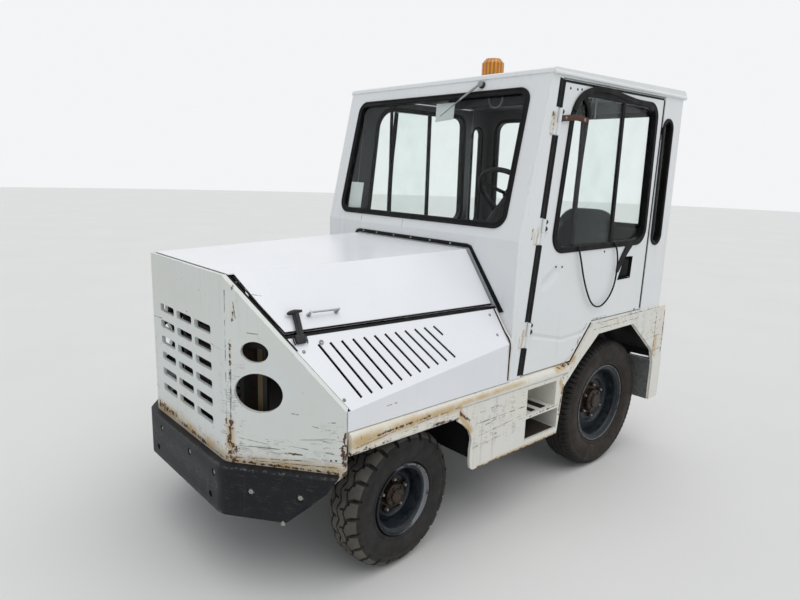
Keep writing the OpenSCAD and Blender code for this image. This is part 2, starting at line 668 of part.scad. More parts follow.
// Route of the loose filler strip: it hangs out of the window seal and goes back into it
strip_pts = [[709, 1655, 1292], [711, 1664, 1266], [714, 1682, 1215], [715, 1712, 1140], [715, 1750, 1070],
             [715, 1796, 1008], [715, 1846, 976], [715, 1905, 974], [715, 1966, 1008], [715, 2006, 1062],
             [715, 2021, 1122], [714, 2024, 1190], [712, 2013, 1248], [710, 1993, 1281], [709, 1982, 1293]];

// Radius of the loose filler strip
strip_r = 4.5;

module loose_strip_left() shift() {
    n = len(strip_pts);
    m = 8;
    r = strip_r;
    rings = [for (i = [0 : n - 1])
        let(t = unit(strip_pts[min(i + 1, n - 1)] - strip_pts[max(i - 1, 0)]),
            a = unit(cross(t, [1, 0, 0.01])), b = cross(t, a))
        [for (k = [0 : m - 1]) strip_pts[i] + r * (a * cos(360 * k / m) + b * sin(360 * k / m))]];
    pts = [for (q = rings) each q];
    faces = concat(
        [for (i = [0 : n - 2], k = [0 : m - 1])
            [i * m + k, (i + 1) * m + k, (i + 1) * m + (k + 1) % m, i * m + (k + 1) % m]],
        [[for (k = [0 : m - 1]) k]], [[for (k = [m - 1 : -1 : 0]) (n - 1) * m + k]]);
    polyhedron(pts, faces);
}

module door_left() shift() {
    door_shell();
    // Bracket of the missing mirror
    prism_x([[1440, 1856], [1440, 1880], [1500, 1884], [1500, 1864]], 697, 705);
    prism_x([[1440, 1856], [1440, 1880], [1560, 1888], [1640, 1876], [1640, 1864], [1560, 1872]], 704.5, 709);
}
module door_left_glass() shift() door_glass();
module door_left_rubber() shift() {
    door_rubber();
    // End of the filler strip that hangs flat
    prism_x([[2140, 1286], [2106, 1252], [2078, 1216], [2054, 1178], [2040, 1140], [2060, 1130], [2080, 1154],
             [2112, 1196], [2146, 1232], [2192, 1274], [2196, 1286]], 700, 704);
}
module door_right() shift() mirror([1, 0, 0]) door_shell();
module door_right_glass() shift() mirror([1, 0, 0]) door_glass();
module door_right_rubber() shift() mirror([1, 0, 0]) door_rubber();

module steering_wheel() shift() translate([300, 1626, 1513]) rotate([-46.3, 0, 0]) {
    rotate_extrude($fn = 64) translate([178, 0]) circle(r = 13, $fn = 16);
    difference() {
        translate([0, 0, -16]) cylinder(r = 36, h = 30, $fn = 40);
        translate([0, 0, -17]) cylinder(r = 10 + fit_gap, h = 18, $fn = 24);
    }
    for (a = [90, 210, 330]) rotate(a) translate([30, -9, -5]) cube([138, 18, 10]);
}

module knuckle() {
    z = front_r;
    translate([kingpin_x, front_axle_y, z]) {
        translate([0, 0, -41]) cylinder(r = 30, h = 82, $fn = 40);
        translate([0, 0, -63]) cylinder(r = 14, h = 126, $fn = 40);
        rotate([0, 90, 0]) cylinder(r = 36, h = 50, $fn = 40);
        rotate([0, 90, 0]) cylinder(r = 20, h = front_track_x - kingpin_x + 16, $fn = 40);
    }
}
// Turned about the kingpin of one side by the parked steering angle
module steered(s) translate([s * kingpin_x, front_axle_y, 0]) rotate(park_steer)
    translate([-s * kingpin_x, -front_axle_y, 0]) children();
module knuckle_left() shift() steered(1) knuckle();
module knuckle_right() shift() steered(-1) mirror([1, 0, 0]) knuckle();

// Shoulder of each tyre, inward from the radius and from the side
front_shoulder = [[-39, -4], [-24, -11], [-10, -23], [-2, -38], [0, -53]];
rear_shoulder = [[-34, -3], [-14, -9], [-3, -22], [0, -38]];

// Tyre turned about x, centred at the origin
module tyre(r, rim_r, w, shoulder) {
    h = w / 2;
    half = concat([[rim_r - 22, -24], [rim_r, -24], [rim_r + 6, -12], [rim_r + (r - rim_r) * 0.45, 0]],
                  [for (p = shoulder) [r + p[0], p[1]]]);
    n = len(half);
    rotate([0, 90, 0]) rotate_extrude($fn = 96) polygon(concat(
        [for (p = half) [p[0], -h - p[1]]], [for (i = [n - 1 : -1 : 0]) [half[i][0], h + half[i][1]]]));
}

// Disc wheel turned about x; the outer side is +x
module rim(rim_r, w, lip, disc_x, step_r, hub_r, bore_r, nuts, nut_r) {
    h = w / 2;
    b = rim_r - 22;
    difference() {
        union() {
            rotate([0, 90, 0]) rotate_extrude($fn = 72) polygon([
                [b, -h + 24], [rim_r - 1, -h + 24], [rim_r - 1, -h + lip], [b - 9, -h + lip],
                [b - 9, disc_x - 14], [step_r + 4, disc_x + 8], [step_r - 8, disc_x - 12],
                [hub_r, disc_x - 12],
                [hub_r, disc_x - 2], [step_r - 14, disc_x - 2], [step_r, disc_x + 18], [b - 9, disc_x - 4],
                [b - 9, h - lip], [rim_r - 1, h - lip], [rim_r - 1, h - 24], [b, h - 24]]);
            translate([disc_x - 26, 0, 0]) rotate([0, 90, 0]) cylinder(r = hub_r + 4, h = 56, $fn = 48);
            for (i = [0 : nuts - 1]) rotate([360 * i / nuts, 0, 0]) translate([disc_x - 6, 0, nut_r])
                rotate([0, 90, 0]) cylinder(r = 13, h = 20, $fn = 6);
        }
        translate([disc_x - 27, 0, 0]) rotate([0, 90, 0]) cylinder(r = bore_r, h = 46, $fn = 40);
    }
}

module front_tyre() tyre(front_r, front_rim_r, tyre_w, front_shoulder);
module rear_tyre() tyre(rear_r, rear_rim_r, tyre_w + 4, rear_shoulder);
module front_rim() rim(front_rim_r, tyre_w, 7, 0, 92, 46, 20 + fit_gap, 5, 68);
module rear_rim() rim(rear_rim_r, tyre_w + 4, 16, 4, 130, 62, 30 + fit_gap, 6, 92);
// Wheel places, s is the side
module at_front(s) shift() steered(s) translate([s * front_track_x, front_axle_y, front_r]) children();
module at_rear(s) shift() translate([s * rear_track_x, rear_axle_y, rear_r]) children();
module tyre_front_left() at_front(1) front_tyre();
module tyre_front_right() at_front(-1) front_tyre();
module tyre_rear_left() at_rear(1) rear_tyre();
module tyre_rear_right() at_rear(-1) rear_tyre();
module rim_front_left() at_front(1) front_rim();
module rim_front_right() at_front(-1) mirror([1, 0, 0]) front_rim();
module rim_rear_left() at_rear(1) rear_rim();
module rim_rear_right() at_rear(-1) mirror([1, 0, 0]) rear_rim();

color([0.80, 0.76, 0.66]) frame();
color([0.83, 0.85, 0.85]) nose_shell();
color([0.17, 0.18, 0.20]) bumper();
color([0.86, 0.87, 0.88]) side_panels();
color([0.84, 0.82, 0.75]) sills();
color([0.84, 0.84, 0.82]) rear_body();
color([0.20, 0.20, 0.20]) front_axle();
color([0.20, 0.20, 0.20]) rear_axle();
color([0.25, 0.26, 0.27]) engine_block();
color([0.12, 0.12, 0.12]) radiator();
color([0.86, 0.87, 0.88]) cab_front_wall();
color([0.86, 0.87, 0.88]) cab_side_walls();
color([0.86, 0.87, 0.88]) cab_rear_wall();
color([0.86, 0.87, 0.88]) roof();
color([0.30, 0.31, 0.32]) cab_floor();
color([0.18, 0.19, 0.20]) dashboard();
color([0.08, 0.08, 0.09]) seat_cushion();
color([0.08, 0.08, 0.09]) seat_back();
color([0.75, 0.80, 0.82, 0.3]) cab_glass();
color([0.06, 0.06, 0.06]) body_seals();
color([0.90, 0.48, 0.10]) beacon();
color([0.10, 0.10, 0.10]) wiper();
color([0.20, 0.20, 0.20]) tow_jaw();
color([0.55, 0.08, 0.06]) tail_lamps();
color([0.88, 0.89, 0.90]) hood_lid();
color([0.10, 0.11, 0.12]) hood_latches();
color([0.70, 0.70, 0.72]) hood_handles();
color([0.86, 0.87, 0.88]) door_left();
color([0.75, 0.80, 0.82, 0.3]) door_left_glass();
color([0.06, 0.06, 0.06]) door_left_rubber();
color([0.08, 0.08, 0.08]) loose_strip_left();
color([0.86, 0.87, 0.88]) door_right();
color([0.75, 0.80, 0.82, 0.3]) door_right_glass();
color([0.06, 0.06, 0.06]) door_right_rubber();
color([0.08, 0.08, 0.09]) steering_wheel();
color([0.18, 0.18, 0.18]) knuckle_left();
color([0.18, 0.18, 0.18]) knuckle_right();
color([0.09, 0.09, 0.09]) tyre_front_left();
color([0.16, 0.17, 0.19]) rim_front_left();
color([0.09, 0.09, 0.09]) tyre_front_right();
color([0.16, 0.17, 0.19]) rim_front_right();
color([0.09, 0.09, 0.09]) tyre_rear_left();
color([0.16, 0.17, 0.19]) rim_rear_left();
color([0.09, 0.09, 0.09]) tyre_rear_right();
color([0.16, 0.17, 0.19]) rim_rear_right();
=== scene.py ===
"""Looks of a weathered airport baggage tug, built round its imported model.

Lengths in the tables are millimetres counted from the outer face of the nose plate, x to the driver's
left, y to the rear and z up; place() turns them into metres in the row frame.
"""
import math

import bpy
import numpy as np
from mathutils import Matrix


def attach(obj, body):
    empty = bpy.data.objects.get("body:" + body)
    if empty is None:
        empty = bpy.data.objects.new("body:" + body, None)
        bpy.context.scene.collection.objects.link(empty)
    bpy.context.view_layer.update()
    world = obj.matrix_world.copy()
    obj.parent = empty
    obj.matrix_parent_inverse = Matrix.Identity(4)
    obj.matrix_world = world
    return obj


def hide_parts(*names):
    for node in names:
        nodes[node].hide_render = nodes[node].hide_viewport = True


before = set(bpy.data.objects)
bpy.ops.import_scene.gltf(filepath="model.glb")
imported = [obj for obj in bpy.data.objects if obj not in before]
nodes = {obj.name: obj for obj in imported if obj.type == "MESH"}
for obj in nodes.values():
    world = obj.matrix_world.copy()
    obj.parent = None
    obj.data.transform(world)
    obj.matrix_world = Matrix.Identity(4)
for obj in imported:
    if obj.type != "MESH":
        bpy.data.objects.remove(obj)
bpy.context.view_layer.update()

# Camera solved from the photograph: its place, its axes and its focal length in pixels
eye = (2.34899, -2.32366, 1.62079)
right = (0.66206436, 0.74881011, 0.03089008)
up = (-0.17321106, 0.11278405, 0.97840569)
ahead = (-0.72915616, 0.65311804, -0.20437249)
camera = bpy.data.objects.new("photo_camera", bpy.data.cameras.new("photo_camera"))
bpy.context.scene.collection.objects.link(camera)
camera.matrix_world = Matrix([
    [right[0], up[0], -ahead[0], eye[0]],
    [right[1], up[1], -ahead[1], eye[1]],
    [right[2], up[2], -ahead[2], eye[2]],
    [0, 0, 0, 1]])
FOCAL_PIXELS, PHOTO_WIDTH, SENSOR = 618.526, 800, 36
camera.data.sensor_width = SENSOR
camera.data.lens = FOCAL_PIXELS * SENSOR / PHOTO_WIDTH
camera.data.clip_start = 0.05
camera.data.clip_end = 200
bpy.context.scene.camera = camera

# Main sizes: row origin behind the nose plate, bend of the nose plate, lower edge and lean of the
# windshield, wheels
NOSE_Y = 1370.0
BEND_X, HOOD_Z = 337.0, 1245.0
SCREEN_Y, SCREEN_Z = 1197, 1338
LEAN = math.radians(12.6)
FRONT_AXLE_Y, REAR_AXLE_Y = 620, 2134
FRONT_R, REAR_R, TRACK_X, KINGPIN_X, PARK_STEER = 294, 365, 566, 452, math.radians(4)
FRONT_RIM_R, REAR_RIM_R, FRONT_WIDTH, REAR_WIDTH = 153, 220, 166, 170
BEACON_Y = 1780
SIDES = ((1, "left"), (-1, "right"))
LEFT, FORWARD = (1, 0, 0), (0, -1, 0)
ROOF_NORMAL = (0, -0.0182, 1)


# Geometry helpers


def place(points):
    """Millimetres counted from the nose plate to metres in the row frame."""
    return (np.asarray(points, float) - [0, NOSE_Y, 0]) / 1000


def unit(v):
    """Vectors made one long."""
    v = np.asarray(v, float)
    return v / np.linalg.norm(v, axis=-1, keepdims=True)


def grid(points, close_u=False, close_v=False, cap_u=False):
    """Quads over an array of points [u, v]; closed directions join their last row to the first; caps are
    one face over the first and the last row."""
    nu, nv = points.shape[:2]
    index = np.arange(nu * nv).reshape(nu, nv)
    u2 = np.roll(index, -1, 0) if close_u else index[1:]
    u1 = index if close_u else index[:-1]
    a, b = (u1, np.roll(u1, -1, 1)) if close_v else (u1[:, :-1], u1[:, 1:])
    d, c = (u2, np.roll(u2, -1, 1)) if close_v else (u2[:, :-1], u2[:, 1:])
    faces = np.stack([a, b, c, d], -1).reshape(-1, 4).tolist()
    if cap_u:
        faces += [index[0, ::-1].tolist(), index[-1].tolist()]
    return points.reshape(-1, 3), faces


def join(parts):
    """Several (points, faces) as one."""
    points, faces, base = [], [], 0
    for p, f in parts:
        points.append(p)
        faces += [[i + base for i in face] for face in f] if base else f
        base += len(p)
    return np.concatenate(points), faces


def outward(points, faces):
    """Turns the faces of a closed surface outwards by the sign of its volume, summed over the fans of
    its faces."""
    volume = 0.0
    for size in {len(face) for face in faces}:
        ring = points[np.array([face for face in faces if len(face) == size])]
        fan = np.cross(ring[:, 1:-1] - ring[:, :1], ring[:, 2:] - ring[:, :1])
        volume += np.einsum("ijk,ik->", fan, ring[:, 0])
    return points, faces if volume > 0 else [face[::-1] for face in faces]


def linked(name, data):
    """A new object of the scene."""
    made = bpy.data.objects.new(name, data)
    bpy.context.scene.collection.objects.link(made)
    return made


def piece(name, shapes, finish, body="chassis", replaces=(), sharp=38):
    """One object from closed shapes; shapes are (points, faces) in millimetres from the nose plate."""
    points, faces = join([outward(*shape) for shape in shapes])
    mesh = bpy.data.meshes.new(name)
    mesh.from_pydata(place(points).tolist(), [], faces)
    mesh.polygons.foreach_set("use_smooth", np.ones(len(faces), bool))
    mesh.set_sharp_from_angle(angle=math.radians(sharp))
    mesh.materials.append(finish)
    made = linked(name, mesh)
    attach(made, body)
    if replaces:
        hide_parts(*replaces)
    return made


def sided(shapes, way):
    """The shapes as they are for way 1, on the other side of the vehicle for way -1."""
    return [(points * [way, 1, 1], faces) for points, faces in shapes]


def both(shapes):
    """The shapes and their mirror images."""
    return shapes + sided(shapes, -1)


def sweep(path, profile, normal, closed=True):
    """A profile (across, along normal) carried along a path in a plane with that normal; across points to
    the path's right hand seen against the normal."""
    path, profile, normal = np.asarray(path, float), np.asarray(profile, float), unit(normal)
    if closed:
        tangent = unit(np.roll(path, -1, 0) - np.roll(path, 1, 0))
    else:
        tangent = unit(np.gradient(path, axis=0))
    across = unit(np.cross(tangent, normal))
    points = (path[:, None] + across[:, None] * profile[None, :, :1] + normal * profile[None, :, 1:])
    return grid(points, close_u=closed, close_v=True, cap_u=not closed)


def smooth_path(points, n):
    """A Catmull-Rom curve through the points, sampled evenly at n places."""
    p = np.asarray(points, float)
    q = np.vstack([2 * p[0] - p[1], p, 2 * p[-1] - p[-2]])
    t = np.linspace(0, 1, 24, endpoint=False)[:, None]
    dense = np.vstack([0.5 * (2 * q[i] + (q[i + 1] - q[i - 1]) * t
                              + (2 * q[i - 1] - 5 * q[i] + 4 * q[i + 1] - q[i + 2]) * t ** 2
                              + (3 * q[i] - q[i - 1] - 3 * q[i + 1] + q[i + 2]) * t ** 3)
                       for i in range(1, len(q) - 2)] + [q[-2]])
    walked = np.concatenate([[0], np.cumsum(np.linalg.norm(np.diff(dense, axis=0), axis=1))])
    at = np.linspace(0, walked[-1], n)
    return np.stack([np.interp(at, walked, dense[:, k]) for k in range(3)], -1)


def tube(path, radius, sides=12):
    """Round rod along a path: rings of the radius at each point, square to the path, without twist."""
    path = np.asarray(path, float)
    tangent = unit(np.gradient(path, axis=0))
    side = np.cross(tangent[0], [0, 0, 1.0])
    side = unit(side if np.linalg.norm(side) > 0.1 else np.cross(tangent[0], [0, 1.0, 0]))
    frames = []
    for t in tangent:
        side = unit(side - t * (side @ t))
        frames.append((side, np.cross(t, side)))
    frames = np.array(frames)
    turn = np.arange(sides) * 2 * math.pi / sides
    radius = np.broadcast_to(radius, len(path))[:, None, None]
    rings = (path[:, None] + radius * (np.cos(turn)[None, :, None] * frames[:, None, 0]
                                       + np.sin(turn)[None, :, None] * frames[:, None, 1]))
    return grid(rings, close_v=True, cap_u=True)


def lathe(profile, centre, axis, sides=64):
    """A profile of (along the axis, radius) turned round the axis through the centre. A profile that
    starts and ends on the axis closes by itself, any other closes on itself as a ring."""
    profile, axis = np.asarray(profile, float), unit(axis)
    side = unit(np.cross(axis, [0.0, 0.0, 1.0] if abs(axis[2]) < 0.9 else [1.0, 0.0, 0.0]))
    other = np.cross(axis, side)
    turn = np.arange(sides) * 2 * math.pi / sides
    spokes = np.cos(turn)[:, None] * side + np.sin(turn)[:, None] * other
    solid = profile[0, 1] < 0.01 and profile[-1, 1] < 0.01
    rows = profile[1:-1] if solid else profile
    points = np.asarray(centre) + rows[:, None, :1] * axis + rows[:, None, 1:] * spokes[None]
    if not solid:
        return grid(points, close_u=True, close_v=True)
    return grid(points, close_v=True, cap_u=True)


def slab(outline, low, high, bevel, origin=(0, 0, 0), x_axis=(1, 0, 0), z_axis=(0, 0, 1)):
    """A plate of a convex outline between two heights with rounded rims: rings of the outline, pulled in
    by the bevel near both faces."""
    outline = np.asarray(outline, float)
    x_axis, z_axis = unit(x_axis), unit(z_axis)
    y_axis = np.cross(z_axis, x_axis)
    ahead_edge, back_edge = np.roll(outline, -1, 0) - outline, outline - np.roll(outline, 1, 0)
    bisector = unit(unit(back_edge) - unit(ahead_edge) + 1e-9)
    centre = outline.mean(0)
    bisector = bisector * np.sign(np.einsum("ij,ij->i", bisector, outline - centre))[:, None]
    steps = np.array([[0.0, 1.0], [0.3, 0.3], [1.0, 0.0]]) * bevel
    rows = [(low + up_by, in_by) for up_by, in_by in steps] + [(high - up_by, in_by)
                                                               for up_by, in_by in steps[::-1]]
    points = []
    for height, pulled in rows:
        flat = outline - bisector * pulled
        points.append(np.asarray(origin) + flat[:, :1] * x_axis + flat[:, 1:] * y_axis + height * z_axis)
    return grid(np.array(points), close_v=True, cap_u=True)


def round_outline(corners, radii, n=6):
    """Corners of a polygon replaced by arcs."""
    corners = np.asarray(corners, float)
    k, out = len(corners), []
    for i in range(k):
        b, r = corners[i], radii[i]
        u, v = unit(corners[i - 1] - b), unit(corners[(i + 1) % k] - b)
        half = math.acos(np.clip(u @ v, -1, 1)) / 2
        start, middle = b + u * r / math.tan(half), b + unit(u + v) * r / math.sin(half)
        end = b + v * r / math.tan(half)
        t = np.linspace(0, 1, n + 1)[:, None]
        p, q = start - middle, end - middle
        swing = math.acos(np.clip(unit(p) @ unit(q), -1, 1))
        out.append(middle + (np.sin((1 - t) * swing) * p + np.sin(t * swing) * q) / math.sin(swing))
    return np.vstack(out)


def inset(corners, d):
    """Corners of a convex polygon moved inwards."""
    corners = np.asarray(corners, float)
    out = []
    for i in range(len(corners)):
        b = corners[i]
        u, v = unit(corners[i - 1] - b), unit(corners[(i + 1) % len(corners)] - b)
        half = math.acos(np.clip(u @ v, -1, 1)) / 2
        out.append(b + unit(u + v) * d / math.sin(half))
    return np.array(out)


def hex_head(centre, axis, across, height):
    """Hexagonal bolt head."""
    turn = np.arange(6) * math.pi / 3
    outline = across / math.sqrt(3) * np.stack([np.cos(turn), np.sin(turn)], -1)
    axis = unit(axis)
    side = np.cross(axis, [0, 0, 1.0]) if abs(axis[2]) < 0.9 else np.array([1.0, 0, 0])
    return slab(outline, 0, height, across * 0.07, centre, side, axis)


def dome(centre, axis, radius, height):
    """Rivet head: a shallow cap, radius times cosine against height times sine."""
    t = np.linspace(0, math.pi / 2, 5)
    profile = [[-1, 0], [-1, radius]] + [[height * math.sin(a), radius * math.cos(a)] for a in t[:-1]]
    return lathe(profile + [[height, 0]], centre, axis, 20)


def washer(centre, axis, radius, height):
    """A flat disc with a small round rim."""
    profile = [[-0.3, 0], [-0.3, radius], [1.6, radius], [height, radius - 1], [height, 0]]
    return lathe(profile, centre, axis, 24)


def upright(outline, low, high, bevel):
    """A slab of an outline (length, height), between two distances across the vehicle."""
    return slab(outline, low, high, bevel, x_axis=(0, 1, 0), z_axis=LEFT)


def side_strip(path, section):
    """A section (along the side, outwards) carried along an open path on the vehicle's side."""
    return sweep(path, section, LEFT, closed=False)


# Slanted plane of the hood sides and louvre panels through three of its corners, and the angled corner
# plate in front of it
TOP_CORNER = np.array([BEND_X, 0, HOOD_Z])
LOW_CORNER = np.array([706.0, 284, 780])
REAR_CORNER = np.array([700.0, 1152, 889])
SLANT = unit(np.cross(LOW_CORNER - TOP_CORNER, REAR_CORNER - TOP_CORNER))
SLANT_U = unit(np.array([-SLANT[1], SLANT[0], 0]))
SLANT_V = np.cross(SLANT, SLANT_U)
CORNER = unit((LOW_CORNER - TOP_CORNER) * [1, 1, 0])
CORNER_OUT = np.array([CORNER[1], -CORNER[0], 0])


def spread(x, y, z):
    """Coordinates, single or whole arrays, as points."""
    return np.stack(np.broadcast_arrays(x, y, z), -1).astype(float)


def slant(y, z, off=0.0):
    """Point of the slanted plane at a length and height, moved out by off."""
    return spread(BEND_X - (SLANT[1] * y + SLANT[2] * (z - HOOD_Z)) / SLANT[0], y, z) + SLANT * off


def corner(s, z, off=0.0):
    """Point of the angled corner plate at a distance from its bend."""
    return np.array([BEND_X, 0, z]) + CORNER * s + CORNER_OUT * off


def screen(x, v, off=0.0):
    """Point of the leaning windshield plane: x across, v up the slope, off outwards."""
    return spread(x, SCREEN_Y + v * math.sin(LEAN) - off * math.cos(LEAN),
                  SCREEN_Z + v * math.cos(LEAN) + off * math.sin(LEAN))


SCREEN_OUT = np.array([0, -math.cos(LEAN), math.sin(LEAN)])


# Shader helpers
class Graph:
    """Adds shader nodes to one tree; a number goes on the socket and a socket is linked to it."""

    def __init__(self, tree):
        self.tree = tree

    def node(self, kind, inputs=(), **settings):
        made = self.tree.nodes.new("ShaderNode" + kind)
        for key, value in settings.items():
            setattr(made, key, value)
        for key, value in dict(inputs).items():
            self.put(made.inputs[key], value)
        return made

    def put(self, socket, value):
        if isinstance(value, bpy.types.NodeSocket):
            self.tree.links.new(value, socket)
        elif value is not None:
            if socket.type == "RGBA" and len(value) == 3:
                value = (*value, 1)
            socket.default_value = value

    def math(self, operation, *values, clamp=False):
        return self.node("Math", dict(enumerate(values)), operation=operation,
                         use_clamp=clamp).outputs[0]

    def times(self, *values):
        return self.math("MULTIPLY", *values)

    def plus(self, *values):
        return self.math("ADD", *values)

    def minus(self, *values):
        return self.math("SUBTRACT", *values)

    def most(self, *values):
        """The largest of the values that are there."""
        values = [value for value in values if value is not None]
        result = values[0]
        for value in values[1:]:
            result = self.math("MAXIMUM", result, value)
        return result

    def vector(self, operation, *values):
        made = self.node("VectorMath", dict(enumerate(values)), operation=operation)
        return made.outputs[1 if operation in ("LENGTH", "DISTANCE", "DOT_PRODUCT") else 0]

    def mix(self, factor, a, b, blend="MIX"):
        made = self.node("Mix", data_type="RGBA", blend_type=blend)
        for index, value in ((0, factor), (6, a), (7, b)):
            self.put(made.inputs[index], value)
        return made.outputs[2]

    def fade(self, value, low, high, to_low=0.0, to_high=1.0):
        return self.node("MapRange", {0: value, 1: low, 2: high, 3: to_low, 4: to_high},
                         interpolation_type="SMOOTHSTEP").outputs[0]

    def noise(self, vector, scale, detail=3.0, rough=0.55):
        return self.node("TexNoise", {"Vector": vector, "Scale": scale, "Detail": detail,
                                      "Roughness": rough}).outputs[0]

    def stretch(self, vector, scale):
        return self.node("Mapping", {"Vector": vector, "Scale": scale}).outputs[0]

    def parts(self, vector):
        return self.node("SeparateXYZ", {0: vector}).outputs

    def mask(self, tree, coord, **inputs):
        """The mask that a shared group gives."""
        made = self.tree.nodes.new("ShaderNodeGroup")
        made.node_tree = tree
        self.put(made.inputs["Vector"], coord)
        for key, value in inputs.items():
            self.put(made.inputs[key.replace("_", " ")], value)
        return made.outputs[0]


def mask_group(**inputs):
    """Turns the function below it into a shared shader group of the same name with one output, a mask.
    Besides the coordinates its inputs are numbers, or vectors where the default is None."""
    def made_by(build):
        tree = bpy.data.node_groups.new(build.__name__, "ShaderNodeTree")
        for key, default in {"Vector": None, **inputs}.items():
            kind = "NodeSocketVector" if default is None else "NodeSocketFloat"
            socket = tree.interface.new_socket(key.replace("_", " "), in_out="INPUT", socket_type=kind)
            if default is not None:
                socket.default_value = default
        tree.interface.new_socket("Mask", in_out="OUTPUT", socket_type="NodeSocketFloat")
        mask = build(Graph(tree), tree.nodes.new("NodeGroupInput").outputs)
        tree.links.new(mask, tree.nodes.new("NodeGroupOutput").inputs["Mask"])
        return tree
    return made_by


@mask_group(Scale=5.0, Low=0.5, High=0.6)
def mottle(g, i):
    """Fractal noise cut between two levels: patches of stain, rust or chipped paint."""
    return g.fade(g.noise(i["Vector"], i["Scale"], 6.0, 0.62), i["Low"], i["High"])


@mask_group(Start=None, End=None, Reach=0.02, Push=0.0)
def line_mark(g, i):
    """One on the line from start to end, falling to nothing at the reach, with the edge pushed about."""
    along = g.vector("SUBTRACT", i["End"], i["Start"])
    away = g.vector("SUBTRACT", i["Vector"], i["Start"])
    t = g.math("DIVIDE", g.vector("DOT_PRODUCT", away, along),
               g.plus(g.vector("DOT_PRODUCT", along, along), 1e-9), clamp=True)
    foot = g.node("VectorMath", {0: along, 3: t}, operation="SCALE").outputs[0]
    gap = g.vector("LENGTH", g.vector("SUBTRACT", away, foot))
    return g.fade(g.plus(g.math("DIVIDE", gap, i["Reach"]), i["Push"]), 1.0, 0.1)


@mask_group(Reach=0.004, Grain=30.0)
def edge_wear(g, i):
    """Where the rounded normal leaves the flat one, broken up by noise: worn rims and folds."""
    soft = g.node("Bevel", {"Radius": i["Reach"]}, samples=4).outputs[0]
    flat = g.node("NewGeometry").outputs["Normal"]
    bent = g.minus(1.0, g.vector("DOT_PRODUCT", soft, flat))
    return g.times(g.fade(bent, 0.02, 0.25), g.fade(g.noise(i["Vector"], i["Grain"], 4.0), 0.45, 0.62))


@mask_group(Top=0.3, Splash=0.4, Reach_up=0.6)
def lying_dust(g, i):
    """Faces that look up, and all that is low, gather dust and road splash, broken by noise."""
    lift = g.parts(g.node("NewGeometry").outputs["Normal"])[2]
    top = g.times(g.fade(lift, 0.3, 1.0), i["Top"])
    low = g.times(g.fade(g.parts(i["Vector"])[2], i["Reach up"], 0.0), i["Splash"])
    rough = g.noise(i["Vector"], 14.0, 5.0)
    return g.math("MULTIPLY", g.plus(top, low), g.fade(rough, 0.25, 0.7), clamp=True)


@mask_group()
def runs(g, i):
    """Noise drawn out along the vertical: dirty water runs."""
    thin = g.noise(g.stretch(i["Vector"], (38, 38, 1.6)), 1.0, 4.0)
    patch = g.noise(i["Vector"], 2.6, 3.0)
    return g.times(g.fade(thin, 0.52, 0.72), g.fade(patch, 0.42, 0.66))


@mask_group(Centre=None, Half=None)
def scratches(g, i):
    """In a box round the centre: thin lines where noise, drawn out along the plate, crosses one half,
    broken by a second noise."""
    away = g.vector("ABSOLUTE", g.vector("DIVIDE", g.vector("SUBTRACT", i["Vector"], i["Centre"]),
                                         i["Half"]))
    zone = g.fade(g.most(*g.parts(away)), 1.0, 0.6)
    value = g.noise(g.stretch(i["Vector"], (7, 7, 230)), 1.0, 2.0)
    line = g.fade(g.math("ABSOLUTE", g.minus(value, 0.5)), 0.035, 0.0)
    broken = g.fade(g.noise(i["Vector"], 21.0, 4.0, 0.7), 0.50, 0.56)
    return g.times(g.times(line, broken), zone)


def material(name):
    """A new material with its node graph and its object coordinates."""
    made = bpy.data.materials.new(name)
    made.use_nodes = True
    made.node_tree.nodes.clear()
    g = Graph(made.node_tree)
    return made, g, g.node("TexCoord").outputs["Object"]


def finish_material(g, bump=None, strength=0.3, distance=0.001, **inputs):
    """The Principled shader on the output, with a bump from a height where one is given."""
    shader = g.node("BsdfPrincipled")
    for key, value in inputs.items():
        g.put(shader.inputs[key.replace("_", " ")], value)
    if bump is not None:
        normal = g.node("Bump", {"Strength": strength, "Distance": distance, "Height": bump})
        g.put(shader.inputs["Normal"], normal.outputs[0])
    out = g.node("OutputMaterial")
    g.tree.links.new(shader.outputs[0], out.inputs[0])


RUST_DARK, RUST, RUST_PALE = (0.045, 0.020, 0.012), (0.21, 0.085, 0.035), (0.50, 0.36, 0.20)
RUST_BROWN = (0.13, 0.058, 0.028)
OCHRE = (0.52, 0.345, 0.12)
LINING = (0.085, 0.088, 0.093)
INK_BROWN, INK_RUST = (0.060, 0.050, 0.043), (0.15, 0.055, 0.035)
# Near black for faces deep inside a shell: painted shade.
INSIDE_SHADE = (0.010, 0.010, 0.010)
LINING_X, LINING_REAR_Y, LINING_TOP_Z, WALL_THICK = 670.5, 2555, 2052.5, 28


def scaled(colour, factor):
    """A colour made darker or lighter."""
    return [c * factor for c in colour]


def patches(g, coord, scale, low, high):
    """Patches of the mottle group."""
    return g.mask(mottle, coord, Scale=scale, Low=low, High=high)


def both_sides(g, coord):
    """The coordinates with x counted outwards on either side."""
    x, y, z = g.parts(coord)
    return g.node("CombineXYZ", {0: g.math("ABSOLUTE", x), 1: y, 2: z}).outputs[0]


def lines_over(g, coord, lines, push=0.0):
    """The strongest of several line marks (start, end, reach) at each place. A mark on the driver's side
    shows on the other side too."""
    if not lines:
        return None
    sides = both_sides(g, coord)
    return g.most(*[g.mask(line_mark, sides if start[0] > 0 and end[0] > 0 else coord, Start=place(start),
                           End=place(end), Reach=reach / 1000, Push=push)
                    for start, end, reach in lines])


